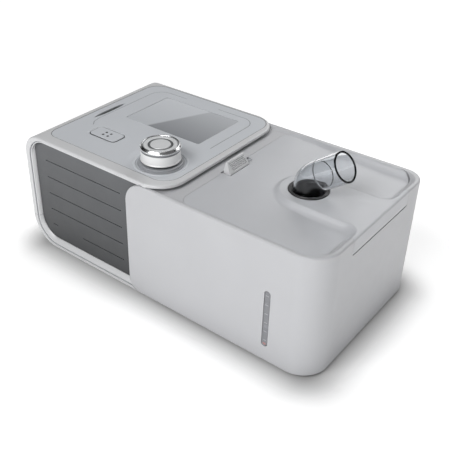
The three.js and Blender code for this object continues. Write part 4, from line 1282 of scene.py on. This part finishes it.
def pale_floor():
    """Pale floor, bright enough to fade into the background, with a painted soft shadow round the object."""
    bpy.ops.mesh.primitive_plane_add(size=8, location=(0, 0, 0))
    plane = bpy.context.object
    plane.name = "floor"
    look = Look("floor_white", (0.86, 0.86, 0.86), 0.9, Emission_Color=(1, 1, 1, 1))
    footprint = ((RIGHT - 12) * MM, (BACK - 12) * MM, 0)
    beyond = look.vector("SUBTRACT", look.vector("ABSOLUTE", look.coords), footprint)
    distance = look.vector("LENGTH", look.vector("MAXIMUM", beyond, (0, 0, 0)))

    def ramp(start, end, low, high):
        return look.ranged(distance, start, end, low, high, interpolation_type="SMOOTHSTEP")

    # Painted shadow: the floor's colour and glow fall near the object's footprint.
    look.tint(ramp(0.004, 0.036, 0, 1), 0.5, 1.0)
    glow_with_painted_shadow = look.number("ADD", ramp(0.004, 0.045, 0.03, 0.42), ramp(0.2, 1.3, 0, 0.5))
    look.show("Emission Strength", glow_with_painted_shadow)
    look.rough(look.noise(60, 2), 0.85, 0.95)
    plane.data.materials.append(look.material)


def studio():
    """Dim even light from all round, with two dark cards, in front of a white background."""
    world = bpy.data.worlds.new("studio")
    sky = Nodes(world)
    direction = sky.node("ShaderNodeTexCoord").outputs["Generated"]
    shade = 1.0
    for card_direction in DARK_CARDS:
        aim = sky.vector("DOT_PRODUCT", direction, Vector(card_direction).normalized())
        away = sky.ranged(aim, CARD_EDGE, CARD_FADED, interpolation_type="SMOOTHSTEP")
        shade = sky.number("MULTIPLY", shade, away)
    background = sky.tree.nodes["Background"]
    sky.feed(background, "Strength", 0.13)
    sky.feed(background, "Color", shade)
    backdrop = sky.node("ShaderNodeBackground", {"Color": (0.98, 0.98, 0.98, 1)})
    camera_ray = sky.node("ShaderNodeLightPath").outputs["Is Camera Ray"]
    shaders = {1: background.outputs[0], 2: backdrop.outputs[0]}
    seen = sky.node("ShaderNodeMixShader", {0: camera_ray, **shaders})
    sky.feed(sky.tree.nodes["World Output"], "Surface", seen.outputs[0])
    bpy.context.scene.world = world


def area_light(name, power, size, place, target=(0, 0, 0.05)):
    data = bpy.data.lights.new(name, "AREA")
    data.shape = "RECTANGLE"
    data.size, data.size_y = size
    data.energy = power
    light = bpy.data.objects.new(name, data)
    light.location = place
    light.rotation_euler = (Vector(target) - Vector(place)).to_track_quat("-Z", "Y").to_euler()
    bpy.context.scene.collection.objects.link(light)


def lights():
    area_light("key", 16.5, (1.1, 0.7), (-0.1, -1.25, 1.3))
    area_light("top", 3.6, (0.7, 0.7), (-0.3, 0.15, 1.45))
    area_light("back", 2.4, (0.8, 0.4), (0.05, 0.68, 0.5))
    area_light("strip", 2.6, (0.15, 0.6), (0.6, -1.0, 0.32))


def camera():
    azimuth, elevation = math.radians(39.363), math.radians(32.526)
    data = bpy.data.cameras.new("camera")
    data.lens = 58.21
    data.sensor_width = 36
    data.shift_x = 0.0733
    data.shift_y = -0.0289
    eye = bpy.data.objects.new("camera", data)
    eye.location = Vector((291.5, -382.95, 353.6)) * MM
    eye.rotation_euler = Euler((math.pi / 2 - elevation, 0, azimuth))
    bpy.context.scene.collection.objects.link(eye)
    bpy.context.scene.camera = eye


# ---- everything

housings()
bezel()
dark_panel()
fascia()
screen()
button()
card()
knob()
rear()
filter_door()
air_ducts()
for number in range(1, 5):
    foot(f"main_foot_{number}")
    foot(f"humidifier_foot_{number}")

surface_tool = above_top()
second_tool = copy_of(surface_tool, "above_top_again")
cover(surface_tool)
lid(second_tool)
under_lid()
latch()
outlet_ring()
outlet()
level_gauge()
base_plate()
tank()
carried_over()

pale_floor()
studio()
lights()
camera()
bpy.context.scene.view_settings.view_transform = "Standard"
